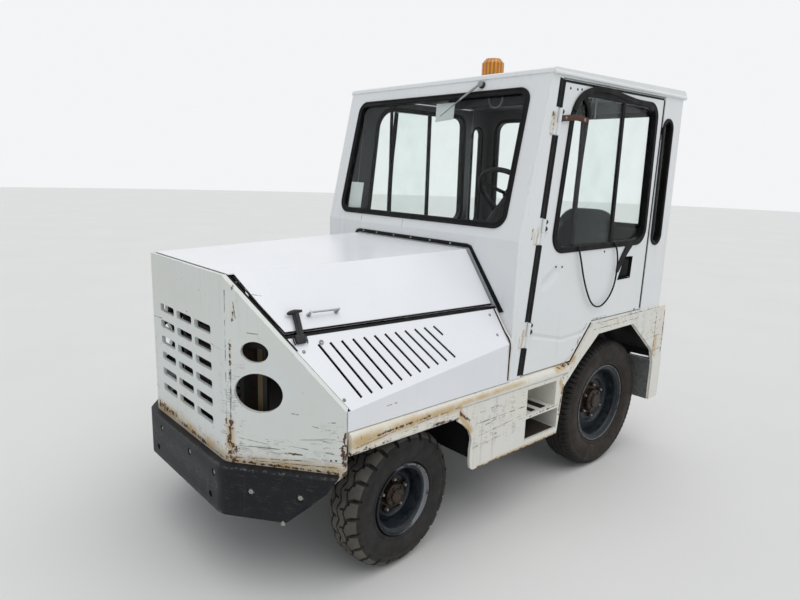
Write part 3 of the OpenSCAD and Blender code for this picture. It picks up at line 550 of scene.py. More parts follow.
def cab_inside(g, coord):
    """One between the cab walls, behind the windshield's plane and under the roof."""
    x, y, z = g.parts(coord)
    leaning = g.times(g.math("MAXIMUM", g.minus(z, SCREEN_Z / 1000), 0.0), math.tan(LEAN))
    front = g.minus(g.minus(y, (SCREEN_Y + WALL_THICK - NOSE_Y) / 1000), leaning)
    across = g.math("LESS_THAN", g.math("ABSOLUTE", x), LINING_X / 1000)
    along = g.times(g.math("GREATER_THAN", front, 0.0),
                    g.times(g.math("LESS_THAN", y, (LINING_REAR_Y - NOSE_Y) / 1000),
                            g.math("LESS_THAN", z, LINING_TOP_Z / 1000)))
    return g.times(across, along)


def in_box(g, coord, centre, half):
    """One in a box round the centre."""
    away = g.vector("ABSOLUTE", g.vector("SUBTRACT", coord, place(centre)))
    past = g.parts(g.vector("SUBTRACT", away, np.array(half) / 1000))
    return g.math("LESS_THAN", g.most(*past), 0.0)


def depth_behind(g, coord, planes):
    """How far a place lies behind the nearest of several planes (point, normal outwards)."""
    sides = both_sides(g, coord)
    depth = None
    for point, normal in planes:
        away = g.vector("SUBTRACT", sides, place(point))
        one = g.times(g.vector("DOT_PRODUCT", away, unit(normal)), -1.0)
        depth = one if depth is None else g.math("MINIMUM", depth, one)
    return depth


def painted(name, colour, marks=(), cuts=(), fields=(), stains=(), yellow=0.0, grime=0.3, splash=0.5,
            chips=0.02, wear=0.5, rough=0.36, inside=False, gloss=0.5, rusting=(RUST_DARK, RUST_BROWN),
            halo_tone=RUST_PALE, zones=(), behind=(), skin_depth=14.2, dents=(),
            inks=(INK_BROWN, INK_RUST)):
    """Old machine paint: tone drifts slowly, cream stain, water runs, splash from the floor, chips and
    worn edges. Marks are places where rust flecks crowd round a line, cuts are single dark scratches,
    stains soft ochre dirt and dents pressed creases (start, end, reach); fields are boxes of fine
    scratches (centre, half size) and zones boxes of another colour (centre, half size, colour). What lies
    deeper than skin_depth behind all the planes of behind (point, normal) is coloured near black, painted
    shade for the inside of a shell."""
    made, g, coord = material(name)
    drift = g.noise(coord, 1.7, 3.0)
    fine = g.noise(coord, 48.0, 6.0, 0.74)

    # Clean paint, cream stain, water runs and splash
    tone = g.mix(g.fade(drift, 0.3, 0.7), scaled(colour, 0.955), colour)
    cream = (colour[0] * 0.93, colour[1] * 0.83, colour[2] * 0.62)
    tone = g.mix(g.times(patches(g, coord, 3.2, 0.35, 0.75), yellow), tone, cream)
    tone = g.mix(g.times(g.mask(runs, coord), grime), tone, scaled((0.73, 0.64, 0.51), 0.45))
    low = g.mask(lying_dust, coord, Top=0.10 * grime, Splash=splash, Reach_up=0.75)
    tone = g.mix(low, tone, (0.36, 0.32, 0.26))
    soft = lines_over(g, coord, stains, g.times(g.minus(drift, 0.5), 0.6))
    if stains:
        patchy = g.times(soft, patches(g, coord, 9.0, 0.25, 0.6))
        tone = g.mix(g.times(patchy, 0.85), tone, OCHRE)

    # Rust: flecks that crowd round the marks, and worn edges
    crowd = lines_over(g, coord, marks)
    level = fine
    if marks:
        halo = g.times(crowd, patches(g, coord, 14.0, 0.35, 0.65))
        tone = g.mix(g.times(halo, 0.45), tone, halo_tone)
        level = g.plus(fine, g.times(crowd, 0.19))
    rim = g.times(g.mask(edge_wear, coord, Reach=0.004, Grain=34.0), wear)
    rusty = g.most(g.fade(level, 0.66 - chips, 0.69 - chips), g.times(rim, 0.85))
    tone = g.mix(rusty, tone, g.mix(g.fade(g.noise(coord, 90.0, 4.0), 0.38, 0.62), *rusting))

    # Scratches
    cut = lines_over(g, coord, cuts, g.times(g.minus(g.noise(coord, 22.0, 5.0, 0.65), 0.5), 3.2))
    if cut is not None:
        cut = g.times(cut, g.fade(g.noise(coord, 33.0, 3.0), 0.38, 0.50))
    for centre, half in fields:
        cut = g.most(cut, g.mask(scratches, both_sides(g, coord) if centre[0] > 100 else coord,
                                 Centre=place(centre), Half=np.array(half) / 1000))
    if cut is not None:
        ink = g.mix(g.fade(g.noise(coord, 5.0, 2.0), 0.56, 0.66), *inks)
        tone = g.mix(g.times(cut, 0.85), tone, ink)

    # Other colours by place
    if inside:
        lined = g.mix(g.fade(drift, 0.3, 0.7), LINING, scaled(LINING, 1.25))
        tone = g.mix(cab_inside(g, coord), tone, lined)
    for centre, half, other in zones:
        tone = g.mix(in_box(g, coord, centre, half), tone,
                     g.mix(g.fade(fine, 0.3, 0.7), other, scaled(other, 0.6)))
    # Painted shade: faces deep inside a shell, where shade falls, are coloured near black.
    if behind:
        deep = g.math("GREATER_THAN", depth_behind(g, coord, behind), skin_depth / 1000)
        tone = g.mix(deep, tone, INSIDE_SHADE)

    # Gloss and the height for the bump
    shine = g.math("ADD", rough, g.times(g.most(rusty, low), 0.45), clamp=True)
    skin = g.plus(g.noise(coord, 3.1, 1.0), g.times(g.plus(rusty, g.noise(coord, 300.0, 1.0)), 0.05))
    pressed = lines_over(g, coord, dents)
    if dents:
        driver_side = g.math("GREATER_THAN", g.parts(coord)[0], 0.0)
        skin = g.minus(skin, g.times(g.times(pressed, driver_side), 6.0))
    finish_material(g, skin, 0.25, 0.006, Base_Color=tone, Roughness=shine, Specular_IOR_Level=gloss)
    return made


def rubber(name, colour, rough=0.62, dusty=0.25, gloss=0.3, dust_tone=(0.11, 0.10, 0.085)):
    """Weathered rubber: greyed on top, fine grain."""
    made, g, coord = material(name)
    tone = g.mix(patches(g, coord, 7.0, 0.35, 0.7), colour, [c * 1.45 + 0.002 for c in colour])
    tone = g.mix(g.mask(lying_dust, coord, Top=dusty, Splash=dusty, Reach_up=0.8), tone, dust_tone)
    finish_material(g, g.noise(coord, 260.0, 3.0), 0.35, 0.0006, Base_Color=tone,
                    Roughness=g.fade(g.noise(coord, 20.0), 0.2, 0.8, rough - 0.12, rough + 0.15),
                    Specular_IOR_Level=gloss)
    return made


def metal(name, colour, rough=0.45, metallic=0.8, rust=0.3, grime=0.4):
    """Bare or oily steel with rust blooms and dirt in the corners."""
    made, g, coord = material(name)
    bloom = g.times(patches(g, coord, 24.0, 0.48, 0.66), rust)
    tone = g.mix(bloom, colour, g.mix(g.noise(coord, 70.0), RUST_DARK, RUST))
    dirt = g.mask(lying_dust, coord, Top=grime, Splash=grime, Reach_up=0.9)
    tone = g.mix(dirt, tone, (0.15, 0.13, 0.11))
    dull = g.most(bloom, dirt)
    finish_material(g, g.noise(coord, 120.0, 4.0), 0.3, 0.0006, Base_Color=tone,
                    Metallic=g.times(g.minus(1.0, dull), metallic),
                    Roughness=g.math("ADD", rough, g.times(dull, 0.35), clamp=True))
    return made


def plastic(name, colour, rough=0.5, grain=180.0, dusty=0.2, gloss=0.5):
    """Moulded plastic or vinyl: leather-like grain and settled dust."""
    made, g, coord = material(name)
    cells = g.node("TexVoronoi", {"Vector": coord, "Scale": grain}, feature="F1").outputs[0]
    tone = g.mix(g.noise(coord, 6.0, 4.0), colour, [c * 1.35 + 0.004 for c in colour])
    dust = g.mask(lying_dust, coord, Top=dusty, Splash=0.0, Reach_up=0.1)
    tone = g.mix(dust, tone, (0.19, 0.175, 0.155))
    finish_material(g, cells, 0.3, 0.0008, Base_Color=tone, Roughness=rough, Specular_IOR_Level=gloss)
    return made


def clear_glass(name):
    """Flat safety glass, dusty in patches: see-through with a sharp reflection."""
    made, g, coord = material(name)
    film = patches(g, coord, 6.0, 0.35, 0.85)
    tone = g.mix(g.times(film, 0.12), (0.93, 0.97, 0.96), (0.62, 0.60, 0.56))
    finish_material(g, Base_Color=tone, Roughness=g.fade(film, 0.0, 1.0, 0.02, 0.08), IOR=1.15,
                    Transmission_Weight=1.0)
    return made


# Finishes
def lines(at, *rows):
    """Lines between two places of a plate; a row has the two numbers of each place and the reach."""
    return [(at(*row[:2]), at(*row[2:4]), row[4]) for row in rows]


def side_at(x):
    """Places of an upright side plate, by length and height."""
    return lambda y, z: (x, y, z)


def front_at(y):
    """Places of an upright front plate, by width and height."""
    return lambda x, z: (x, y, z)


nose_front, bumper_front, door_skin = front_at(0), front_at(-30), side_at(698)
skirt, sill_side, sill_face = side_at(712), side_at(716), side_at(718)
# The first of these colours is near black, painted shade inside the wheel arches and round the front wheel.
ARCH_SHADE, STEP_BROWN, BALLAST_GREY = (0.008, 0.008, 0.008), (0.045, 0.032, 0.024), (0.20, 0.20, 0.20)

nose_paint = painted(
    "nose_paint", (0.70, 0.735, 0.725), yellow=0.30, grime=0.25, splash=0.10, chips=0.0, wear=0.8,
    marks=lines(corner, (20, 350, 24, 600, 46), (14, 600, 26, 700, 22), (6, 684, 10, 720, 12),
                (26, 860, 29, 1010, 9), (40, 1085, 47, 1140, 9), (44, 1205, 62, 1218, 18),
                (457, 345, 462, 640, 34), (452, 640, 462, 700, 12), (30, 546, 440, 544, 10),
                (238, 600, 300, 601, 8), (409, 591, 411, 591, 5), (428, 593, 430, 593, 5))
    + lines(nose_front, (-300, 566, -130, 572, 30), (-60, 556, 190, 552, 18)),
    cuts=lines(corner, (59, 611, 234, 612, 2.6), (292, 658, 423, 674, 2.2), (55, 640, 160, 628, 2.4),
               (234, 603, 300, 600, 3.0), (120, 556, 440, 566, 2.6), (250, 630, 430, 616, 2.2),
               (95, 1042, 136, 1040, 3.0), (395, 735, 425, 738, 2.4), (8, 700, 12, 1190, 2.6),
               (44, 1150, 52, 1090, 3.0), (36, 560, 300, 578, 3.0), (22, 600, 30, 900, 3.2),
               (262, 756, 285, 754, 2.8), (340, 715, 362, 712, 2.0))
    + lines(nose_front, (235, 975, 330, 968, 2.4), (-320, 560, 330, 548, 3.0)),
    fields=[(corner(240, 600), (240, 210, 62)), ((60, 0, 575), (330, 40, 40)),
            (corner(405, 660), (60, 60, 80)), (corner(20, 700), (60, 60, 260))],
    stains=lines(corner, (30, 545, 440, 550, 46), (22, 600, 24, 700, 30))
    + lines(nose_front, (-330, 560, 330, 560, 50)),
    # Painted shade: faces behind these planes, inside the nose shell, come out near black.
    behind=[((0, 0, 0), (0, -1, 0)), (corner(0, 0), CORNER_OUT)])
hood_paint = painted(
    "hood_paint", (0.82, 0.835, 0.87), yellow=0.05, grime=0.06, splash=0.0, chips=-0.05, wear=0.25,
    rough=0.27, skin_depth=3.4,
    # Painted shade: faces behind these planes, the inner faces of the hood panels, come out near black.
    behind=[(TOP_CORNER, SLANT), (LOW_CORNER * [1, 0, 0], (1, 0, 0)), ((0, 0, HOOD_Z), (0, -0.026, 1))],
    marks=lines(side_at(352), (60, 1222, 92, 1222, 6)),
    cuts=lines(side_at(420), (42, 1160, 60, 1180, 2.0)) + lines(side_at(706), (470, 762, 520, 764, 2.6))
    + lines(slant, (66, 1180, 120, 1168, 3.0)))
cab_paint = painted(
    "cab_paint", (0.80, 0.825, 0.84), yellow=0.10, grime=0.10, splash=0.0, chips=-0.04, wear=0.35,
    inside=True,
    marks=lines(door_skin, (1640, 712, 1700, 748, 16), (1690, 760, 1760, 822, 8), (1850, 903, 1990, 903, 6))
    + lines(side_at(700), (1376, 1830, 1382, 1880, 26), (1290, 1345, 1296, 1385, 14)),
    cuts=lines(side_at(-402), (1197, 1338, 1205, 1380, 2.2))
    + lines(side_at(-60), (1197, 1338, 1207, 1380, 2.0))
    + lines(door_skin, (1740, 786, 1744, 812, 6), (1786, 860, 1800, 868, 3.4)),
    stains=[((702, 1262, 855), (704, 1280, 925), 13), ((702, 1318, 1325), (704, 1334, 1390), 12),
            ((702, 1372, 1800), (704, 1392, 1880), 18)],
    dents=lines(door_skin, (1350, 893, 1582, 839, 16), (1582, 837, 1774, 843, 15),
                (1774, 843, 1812, 880, 13), (1420, 1130, 1500, 1180, 40)))
sill_paint = painted(
    "sill_paint", (0.77, 0.765, 0.72), yellow=0.42, grime=0.30, splash=0.08, chips=0.01, wear=0.8,
    marks=lines(skirt, (297, 622, 480, 626, 14), (866, 640, 930, 590, 12), (1240, 668, 1500, 672, 6),
                (1575, 700, 1655, 708, 26), (1600, 450, 1622, 600, 10), (2540, 560, 2540, 860, 7),
                (2640, 600, 2640, 860, 8), (1000, 352, 1600, 352, 7), (1360, 500, 1590, 505, 5))
    + lines(sill_side, (420, 664, 700, 672, 10)) + [((716, 700, 628), (712, 862, 616), 14)],
    cuts=lines(skirt, (985, 560, 1320, 560, 3.2), (1000, 500, 1290, 520, 2.6), (980, 455, 1180, 462, 3.0),
               (1108, 600, 1108, 656, 2.6), (1040, 540, 1110, 552, 4.0), (1860, 850, 2300, 852, 2.4),
               (2330, 700, 2600, 712, 2.6), (1620, 640, 1640, 560, 2.4), (1600, 640, 1700, 690, 3.0),
               (1850, 880, 2560, 886, 3.0), (2440, 620, 2640, 626, 3.0))
    + lines(sill_face, (340, 700, 342, 670, 2.4), (300, 640, 560, 662, 3.0), (560, 655, 860, 668, 3.0)),
    fields=[((712, 1150, 540), (60, 250, 120)), ((712, 2450, 700), (60, 200, 150)),
            ((716, 580, 640), (60, 300, 34)), ((712, 2200, 870), (60, 420, 40)),
            ((712, 1640, 560), (60, 60, 160))],
    stains=lines(sill_face, (300, 660, 600, 672, 40)) + lines(sill_side, (600, 672, 862, 670, 30))
    + lines(skirt, (880, 680, 1300, 684, 18), (866, 640, 940, 540, 26), (1560, 696, 1700, 720, 30),
            (1600, 620, 1640, 520, 20), (1000, 352, 1596, 352, 16), (2560, 600, 2560, 700, 30)),
    # The near-black zones are painted shade: inside the rear arch, under the front and round the front
    # wheel.
    zones=[((0, 2120, 640), (699.4, 424, 300), ARCH_SHADE), ((0, 2570, 560), (699.0, 25, 340), BALLAST_GREY),
           ((0, 1461, 438), (700.5, 120, 56), STEP_BROWN), ((0, 800, 440), (640, 560, 260), ARCH_SHADE),
           ((0, 600, 560), (699, 310, 110), ARCH_SHADE)])
bumper_paint = painted(
    "bumper_paint", (0.0058, 0.0068, 0.0098), grime=0.05, splash=0.03, chips=-0.02, wear=0.5, rough=0.5,
    gloss=0.22, inks=((0.05, 0.05, 0.055), (0.035, 0.035, 0.038)),
    rusting=((0.045, 0.045, 0.05), (0.10, 0.10, 0.10)), halo_tone=(0.045, 0.045, 0.050),
    marks=lines(bumper_front, (-330, 532, 337, 532, 20), (-300, 440, 300, 440, 60),
                (-330, 345, 337, 345, 18)) + [(corner(0, 530, 30), corner(440, 534, 30), 12)],
    fields=[((0, -30, 440), (340, 40, 110)), (corner(220, 450, 30), (230, 200, 100))])
chassis_paint = painted("chassis_paint", (0.022, 0.021, 0.020), grime=0.4, splash=0.25, chips=0.03,
                        rough=0.65, gloss=0.25)
floor_paint = painted("floor_paint", (0.05, 0.05, 0.052), grime=0.5, splash=0.0, chips=0.02, rough=0.7)


def rim_finish(name, axle_y, axle_z, grease_r, lip_highlight_r):
    """Dark blue rim enamel by distance from the axle: brown grease round the hub, scuffed enamel on the
    disc and barrel and a light line round the lip, a painted highlight of its edge."""
    made, g, coord = material(name)
    y, z = g.parts(coord)[1:]
    across = g.math("POWER", g.minus(y, (axle_y - NOSE_Y) / 1000), 2.0)
    away = g.math("SQRT", g.plus(across, g.math("POWER", g.minus(z, axle_z / 1000), 2.0)))
    blotch = g.noise(coord, 26.0, 5.0, 0.65)
    tone = g.mix(g.fade(blotch, 0.35, 0.65), (0.0085, 0.0115, 0.016), (0.022, 0.028, 0.034))
    scuff = g.fade(g.noise(g.stretch(coord, (30, 140, 140)), 1.0, 3.0), 0.60, 0.68)
    tone = g.mix(g.times(scuff, 0.5), tone, (0.10, 0.11, 0.12))
    near = g.fade(g.plus(away, g.times(g.minus(blotch, 0.5), 0.05)),
                  (grease_r + 14) / 1000, (grease_r - 10) / 1000)
    grease = g.mix(g.fade(g.noise(coord, 60.0, 4.0), 0.45, 0.62), (0.016, 0.011, 0.008),
                   (0.048, 0.027, 0.018))
    tone = g.mix(near, tone, grease)
    # Painted highlight: a light grey line round the lip's edge, broken by the blotches.
    lip_highlight = g.fade(away, (lip_highlight_r - 3) / 1000, lip_highlight_r / 1000)
    tone = g.mix(g.times(lip_highlight, g.fade(blotch, 0.35, 0.5)), tone, (0.19, 0.20, 0.21))
    finish_material(g, blotch, 0.3, 0.0012, Base_Color=tone, Roughness=g.fade(blotch, 0.3, 0.7, 0.35, 0.55),
                    Specular_IOR_Level=0.3)
    return made


front_rim = rim_finish("front_rim_enamel", FRONT_AXLE_Y, FRONT_R, 78, 150)
rear_rim = rim_finish("rear_rim_enamel", REAR_AXLE_Y, REAR_R, 104, 216)
front_rubber = rubber("front_rubber", (0.0105, 0.0095, 0.0095), dusty=0.10)
rear_rubber = rubber("rear_rubber", (0.0125, 0.0085, 0.0062), dusty=0.12, dust_tone=(0.07, 0.05, 0.035))
tread_rubber = rubber("tread_rubber", (0.070, 0.066, 0.057), rough=0.8, dusty=0.45,
                      dust_tone=(0.14, 0.125, 0.10))
dark_tread = rubber("dark_tread", (0.012, 0.012, 0.012), rough=0.8, dusty=0.05)
seal = rubber("seal", (0.0045, 0.0045, 0.0052), rough=0.55, dusty=0.02, gloss=0.16)
strip_rubber = rubber("strip_rubber", (0.0045, 0.0045, 0.0045), rough=0.45, dusty=0.02, gloss=0.2)
latch_rubber = rubber("latch_rubber", (0.016, 0.017, 0.018), rough=0.6, dusty=0.25)
steel = metal("steel", (0.05, 0.048, 0.046), rust=0.5)
bright = metal("bright", (0.36, 0.37, 0.39), rough=0.32, metallic=0.95, rust=0.15, grime=0.1)
bolt_steel = metal("bolt_steel", (0.30, 0.29, 0.28), rough=0.42, rust=0.5, grime=0.2)
black_steel = metal("black_steel", (0.025, 0.025, 0.028), rough=0.45, metallic=0.4, rust=0.15, grime=0.05)
wiper_grey = metal("wiper_grey", (0.30, 0.31, 0.31), rough=0.4, metallic=0.5, rust=0.1, grime=0.1)
rusty_steel = metal("rusty_steel", (0.065, 0.022, 0.015), rough=0.7, metallic=0.1, rust=0.5, grime=0.0)
iron = metal("iron", (0.03, 0.03, 0.032), rough=0.6, metallic=0.3, rust=0.5)
dash = plastic("dash", (0.012, 0.012, 0.014), gloss=0.25)
vinyl = plastic("vinyl", (0.0065, 0.0075, 0.012), rough=0.40, grain=420.0, dusty=0.02, gloss=0.2)
grip = plastic("grip", (0.007, 0.007, 0.008), rough=0.75, grain=600.0, dusty=0.02, gloss=0.15)
# Near black of the inner fender sheets: painted shade of the front wheel arch.
arch_shade_black = plastic("arch_shade_black", (0.008, 0.008, 0.008), rough=0.8, grain=200.0, dusty=0.0, gloss=0.1)
worn_edge = plastic("worn_edge", (0.20, 0.21, 0.21), rough=0.5, grain=300.0, dusty=0.0)
paper = plastic("paper", (0.62, 0.64, 0.64), rough=0.8, grain=900.0, dusty=0.0)
strut_ochre = plastic("strut_ochre", (0.075, 0.052, 0.018), rough=0.7, grain=200.0, dusty=0.0)
pane = clear_glass("pane")


def lens(name, colour, ribs_round=0.0):
    """Ribbed coloured plastic of a lamp, lit through; the ribs run up its side, round the axis, with their
    light and shade painted in as darker bands.
    """
    made, g, coord = material(name)
    x, y = g.parts(coord)[:2]
    film = g.noise(coord, 40.0, 4.0)
    tone = g.mix(g.fade(film, 0.4, 0.8), colour, [c * 0.72 + 0.02 for c in colour])
    ribs = film
    if ribs_round:
        turn = g.math("ARCTAN2", g.minus(y, (BEACON_Y - NOSE_Y) / 1000), x)
        ribs = g.math("SINE", g.times(turn, ribs_round))
        # Painted shade of the ribs: the colour darkens on one side of each rib all round the axis.
        tone = g.mix(g.fade(ribs, -1.0, 1.0), scaled(colour, 0.45), tone)
    finish_material(g, ribs, 0.35, 0.001, Base_Color=tone, Roughness=g.fade(film, 0.2, 0.8, 0.18, 0.35),
                    Transmission_Weight=0.25)
    return made


amber = lens("amber", (0.92, 0.36, 0.03), 18.0)
red_lens = lens("red_lens", (0.38, 0.012, 0.010))

node_finishes = [
    (nose_paint, "nose_shell"), (hood_paint, "hood_lid side_panels"), (bumper_paint, "bumper"),
    (cab_paint, "cab_front_wall cab_side_walls cab_rear_wall roof door_left door_right"),
    (sill_paint, "sills rear_body"), (chassis_paint, "frame"), (floor_paint, "cab_floor"),
    (steel, "front_axle rear_axle knuckle_left knuckle_right tow_jaw"), (iron, "engine_block radiator"),
    (dash, "dashboard steering_wheel"), (vinyl, "seat_cushion seat_back"),
    (pane, "cab_glass door_left_glass door_right_glass"), (strip_rubber, "loose_strip_left"),
    (seal, "body_seals door_left_rubber door_right_rubber hood_latches"), (amber, "beacon"),
    (red_lens, "tail_lamps"), (wiper_grey, "wiper"), (bright, "hood_handles"),
    (front_rim, "rim_front_left rim_front_right"), (rear_rim, "rim_rear_left rim_rear_right"),
    (front_rubber, "tyre_front_left tyre_front_right"), (rear_rubber, "tyre_rear_left tyre_rear_right")]
for finish, names in node_finishes:
    for name in names.split():
        nodes[name].data.materials.clear()
        nodes[name].data.materials.append(finish)


# Loose filler strip of the left door
STRIP_R = 4.3
strip_route = np.array([
    (709, 1655, 1292), (711, 1664, 1266), (714, 1682, 1215), (715, 1712, 1140), (715, 1750, 1070),
    (715, 1796, 1008), (715, 1846, 976), (715, 1905, 974), (715, 1966, 1008), (715, 2006, 1062),
    (715, 2021, 1122), (714, 2024, 1190), (712, 2013, 1248), (710, 1993, 1281), (709, 1982, 1293)])
route = smooth_path(strip_route, 90)
loose_strip = piece("loose_filler_strip", [tube(route, STRIP_R)], strip_rubber, "left_door",
                    ["loose_strip_left"])
route_m = place(route)


# Tyres: their shoulders as (fall from the radius, pull inwards)
FRONT_BLOCKS, REAR_BLOCKS = 24, 38
FRONT_SHOULDER = [(-53, 0), (-45, 1), (-38, 2), (-30, 6), (-23, 10), (-17, 16.5), (-11, 24), (-7.5, 31.5)]
REAR_SHOULDER = [(-38, 0), (-30, 1), (-22, 3), (-15, 8), (-9, 14), (-6, 23)]


def tyre_mesh(track, centre_y, radius, rim_r, width, shoulder, flat_from, blocks, slices, cut):
    """A section (radius, across) carried round the axle; the tread's radius is lowered by cut(turn in
    block pitches, across in millimetres, radius), which gives a depth for each point. Gives the points,
    the faces and which faces are worn tread."""
    h = width / 2
    b = rim_r - 22
    half = [(b, -h + 26), (rim_r, -h + 25), (rim_r + 5, -h + 14), (rim_r + 9, -h + 9),
            (rim_r + 15, -h + 7), (rim_r + 22, -h + 9), (rim_r + 30, -h + 4.5),
            (rim_r + (radius - rim_r) * 0.45, -h + 0.8), (radius + shoulder[0][0] - 12, -h + 0.4),
            (radius + shoulder[0][0] - 7, -h + 2.6), (radius + shoulder[0][0] - 3, -h + 2.4)]
    half += [(radius + fall, -h + pull) for fall, pull in shoulder]
    edge, crown = h - flat_from, abs(shoulder[-1][0]) * 0.5 - 0.6
    flat = [(radius - 0.6 - crown * (a / edge) ** 2, a) for a in np.linspace(-edge, edge, slices)]
    section = np.array(half + flat + [(r, -a) for r, a in half[::-1]])
    turns = blocks * 20
    u = np.arange(turns)[:, None] * 2 * math.pi / turns
    r = np.broadcast_to(section[:, 0], (turns, len(section)))
    a = np.broadcast_to(section[:, 1], (turns, len(section)))
    depth = cut(u * blocks / (2 * math.pi) + 0 * r, a, r)
    out = r - depth
    points = np.stack([track + a, centre_y + out * np.cos(u), radius + out * np.sin(u)], -1)
    row = np.arange(len(section))
    worn = (row >= len(half) - 5) & (row < len(section) - len(half) + 4)
    shallow = np.maximum(np.maximum(depth, np.roll(depth, -1, 0)),
                         np.maximum(np.roll(depth, -1, 1), np.roll(np.roll(depth, -1, 0), -1, 1))) < 2.5
    points, faces = grid(points, close_u=True, close_v=True)
    return points, faces, (worn[None, :] & shallow).ravel()


def trench(distance, width):
    """One inside a groove of that width, zero outside, with walls that lean over 3.2 mm."""
    return np.clip((width / 2 + 1.6 - np.abs(distance)) / 3.2, 0, 1)


def zigzag(pitch):
    """A saw between -1 and 1 that repeats with each block."""
    return np.abs((pitch % 1.0) - 0.5) * 4 - 1


def front_cut(pitch, a, r):
    """Three zigzag grooves round the tyre, short slots that join them into rows of scales, and from the
    outer ones a wide slot to each shoulder that bends forward and grows deeper."""
    length = 2 * math.pi * FRONT_R / FRONT_BLOCKS
    depth = 7 * trench(a - 9 * zigzag(pitch), 4.0)
    for way, shift in ((1, 0.0), (-1, 0.5)):
        side = a * way
        depth = np.maximum(depth, 8 * trench(side - 35 - 8 * zigzag(pitch + shift), 4.4))
        along = ((pitch + shift + 0.12) % 1.0 - 0.5) * length
        joint = np.clip((side - 6) / 4, 0, 1) * np.clip((34 - side) / 4, 0, 1)
        depth = np.maximum(depth, 7 * joint * trench(along + 0.35 * (side - 20), 3.6))
        bend = np.clip((side - 38) / 30, 0, 1)
        along = ((pitch + shift + 0.5 + 0.24 * bend * (2 - bend)) % 1.0 - 0.5) * length
        reach = np.clip((side - 36) / 5, 0, 1)
        wide = 3.6 + 9 * np.clip((side - 50) / 18, 0, 1)
        deep = 8 + 8 * np.clip((side - 44) / 16, 0, 1)
        depth = np.maximum(depth, deep * reach * trench(along, wide))
    return depth * np.clip((r - 252) / 12, 0, 1)


def rear_cut(pitch, a, r):
    """Three zigzag grooves round the tyre, fine sipes between them and close-set shoulder slots."""
    length = 2 * math.pi * REAR_R / REAR_BLOCKS
    depth = np.zeros_like(r)
    for middle in (-33, 0, 33):
        depth = np.maximum(depth, 9 * trench(a - middle - 3.5 * zigzag(pitch), 4.5))
    half = ((pitch * 2) % 1.0 - 0.5) * length / 2
    shoulder = np.clip((np.abs(a) - 44) / 6, 0, 1)
    depth = np.maximum(depth, 9 * shoulder * trench(half, 6.5))
    middle = np.clip((40 - np.abs(a)) / 4, 0, 1)
    depth = np.maximum(depth, 4 * middle * trench(half + 0.12 * a, 1.6))
    return depth * np.clip((r - 334) / 10, 0, 1)


def steered(points, way):
    """The points turned about the kingpin of one side by the parked steering angle."""
    x, y, z = (points - [way * KINGPIN_X, FRONT_AXLE_Y, 0]).T
    c, s = math.cos(PARK_STEER), math.sin(PARK_STEER)
    return np.stack([way * KINGPIN_X + x * c - y * s, FRONT_AXLE_Y + x * s + y * c, z], -1)


tyre_forms = (
    ("front", front_rubber, tread_rubber, FRONT_AXLE_Y, FRONT_R, FRONT_RIM_R, FRONT_WIDTH,
     FRONT_SHOULDER, 39, FRONT_BLOCKS, 45, front_cut),
    ("rear", rear_rubber, dark_tread, REAR_AXLE_Y, REAR_R, REAR_RIM_R, REAR_WIDTH,
     REAR_SHOULDER, 34, REAR_BLOCKS, 47, rear_cut))
for way, side in SIDES:
    for end, rubber_finish, worn_finish, *form in tyre_forms:
        points, faces, worn = tyre_mesh(way * TRACK_X, *form)
        if end == "front":
            points = steered(points, way)
        tyre = piece(f"{end}_tread_{side}", [(points, faces)], rubber_finish,
                     f"{end}_{side}_wheel", [f"tyre_{end}_{side}"], sharp=32)
        tyre.data.materials.append(worn_finish)
        tyre.data.polygons.foreach_set("material_index", worn.astype(np.int32))


# Disc wheels
def on_wheel(shapes, way, steer):
    """Shapes made for the left wheel, put on one side and turned with the parked steering."""
    made = sided(shapes, way)
    return [(steered(points, way), faces) for points, faces in made] if steer else made


def wheel_form(axle_y, axle_z, rim_r, h, lip, disc_x, step_r, hub_r, bore_r, nuts, nut_r, flare):
    """Disc wheel of the left side in four shapes: the ring with its barrel, which opens to the lip by
    the points of flare (radius, across), then the hub, the nuts and the bright stud ends."""
    centre, out, b = (TRACK_X, axle_y, axle_z), (1, 0, 0), rim_r - 22
    ring = [(b, -h + 24), (rim_r - 1, -h + 24), (rim_r - 1, -h + lip), (b - 9, -h + lip),
            (b - 9, disc_x - 14), (step_r + 4, disc_x + 8), (step_r - 8, disc_x - 12), (hub_r, disc_x - 12),
            (hub_r, disc_x - 2), (step_r - 14, disc_x - 2), (step_r - 7, disc_x + 12), (step_r, disc_x + 18),
            (step_r + 10, disc_x + 13), (b - 9, disc_x - 4)] + flare + [(rim_r - 1, h - 24), (b, h - 24)]
    wheel = lathe([[a, r] for r, a in ring], centre, out, 96)
    hub = lathe([[disc_x + 19, 0], [disc_x + 19, bore_r], [disc_x - 26, bore_r], [disc_x - 26, hub_r + 4],
                 [disc_x + 24, hub_r + 4], [disc_x + 29, hub_r], [disc_x + 30, hub_r * 0.66],
                 [disc_x + 38, hub_r * 0.62], [disc_x + 40, hub_r * 0.5], [disc_x + 40, 0]], centre, out, 48)
    turn = 2 * math.pi * np.arange(nuts) / nuts

    def ring_place(radius, across, start=0.0):
        return [(TRACK_X + across, axle_y - radius * math.sin(a + start),
                 axle_z + radius * math.cos(a + start)) for a in turn]

    nut = [hex_head(at, out, 22, 17) for at in ring_place(nut_r, disc_x - 3)]
    nut += [hex_head(at, out, 12, 5) for at in ring_place(hub_r * 0.83, disc_x + 29, 0.4)]
    studs = [lathe([[0, 0], [0, 6.5], [9, 6.5], [11, 5], [11, 0]], at, out, 12)
             for at in ring_place(nut_r, disc_x + 13)]
    return [wheel, hub], nut, studs


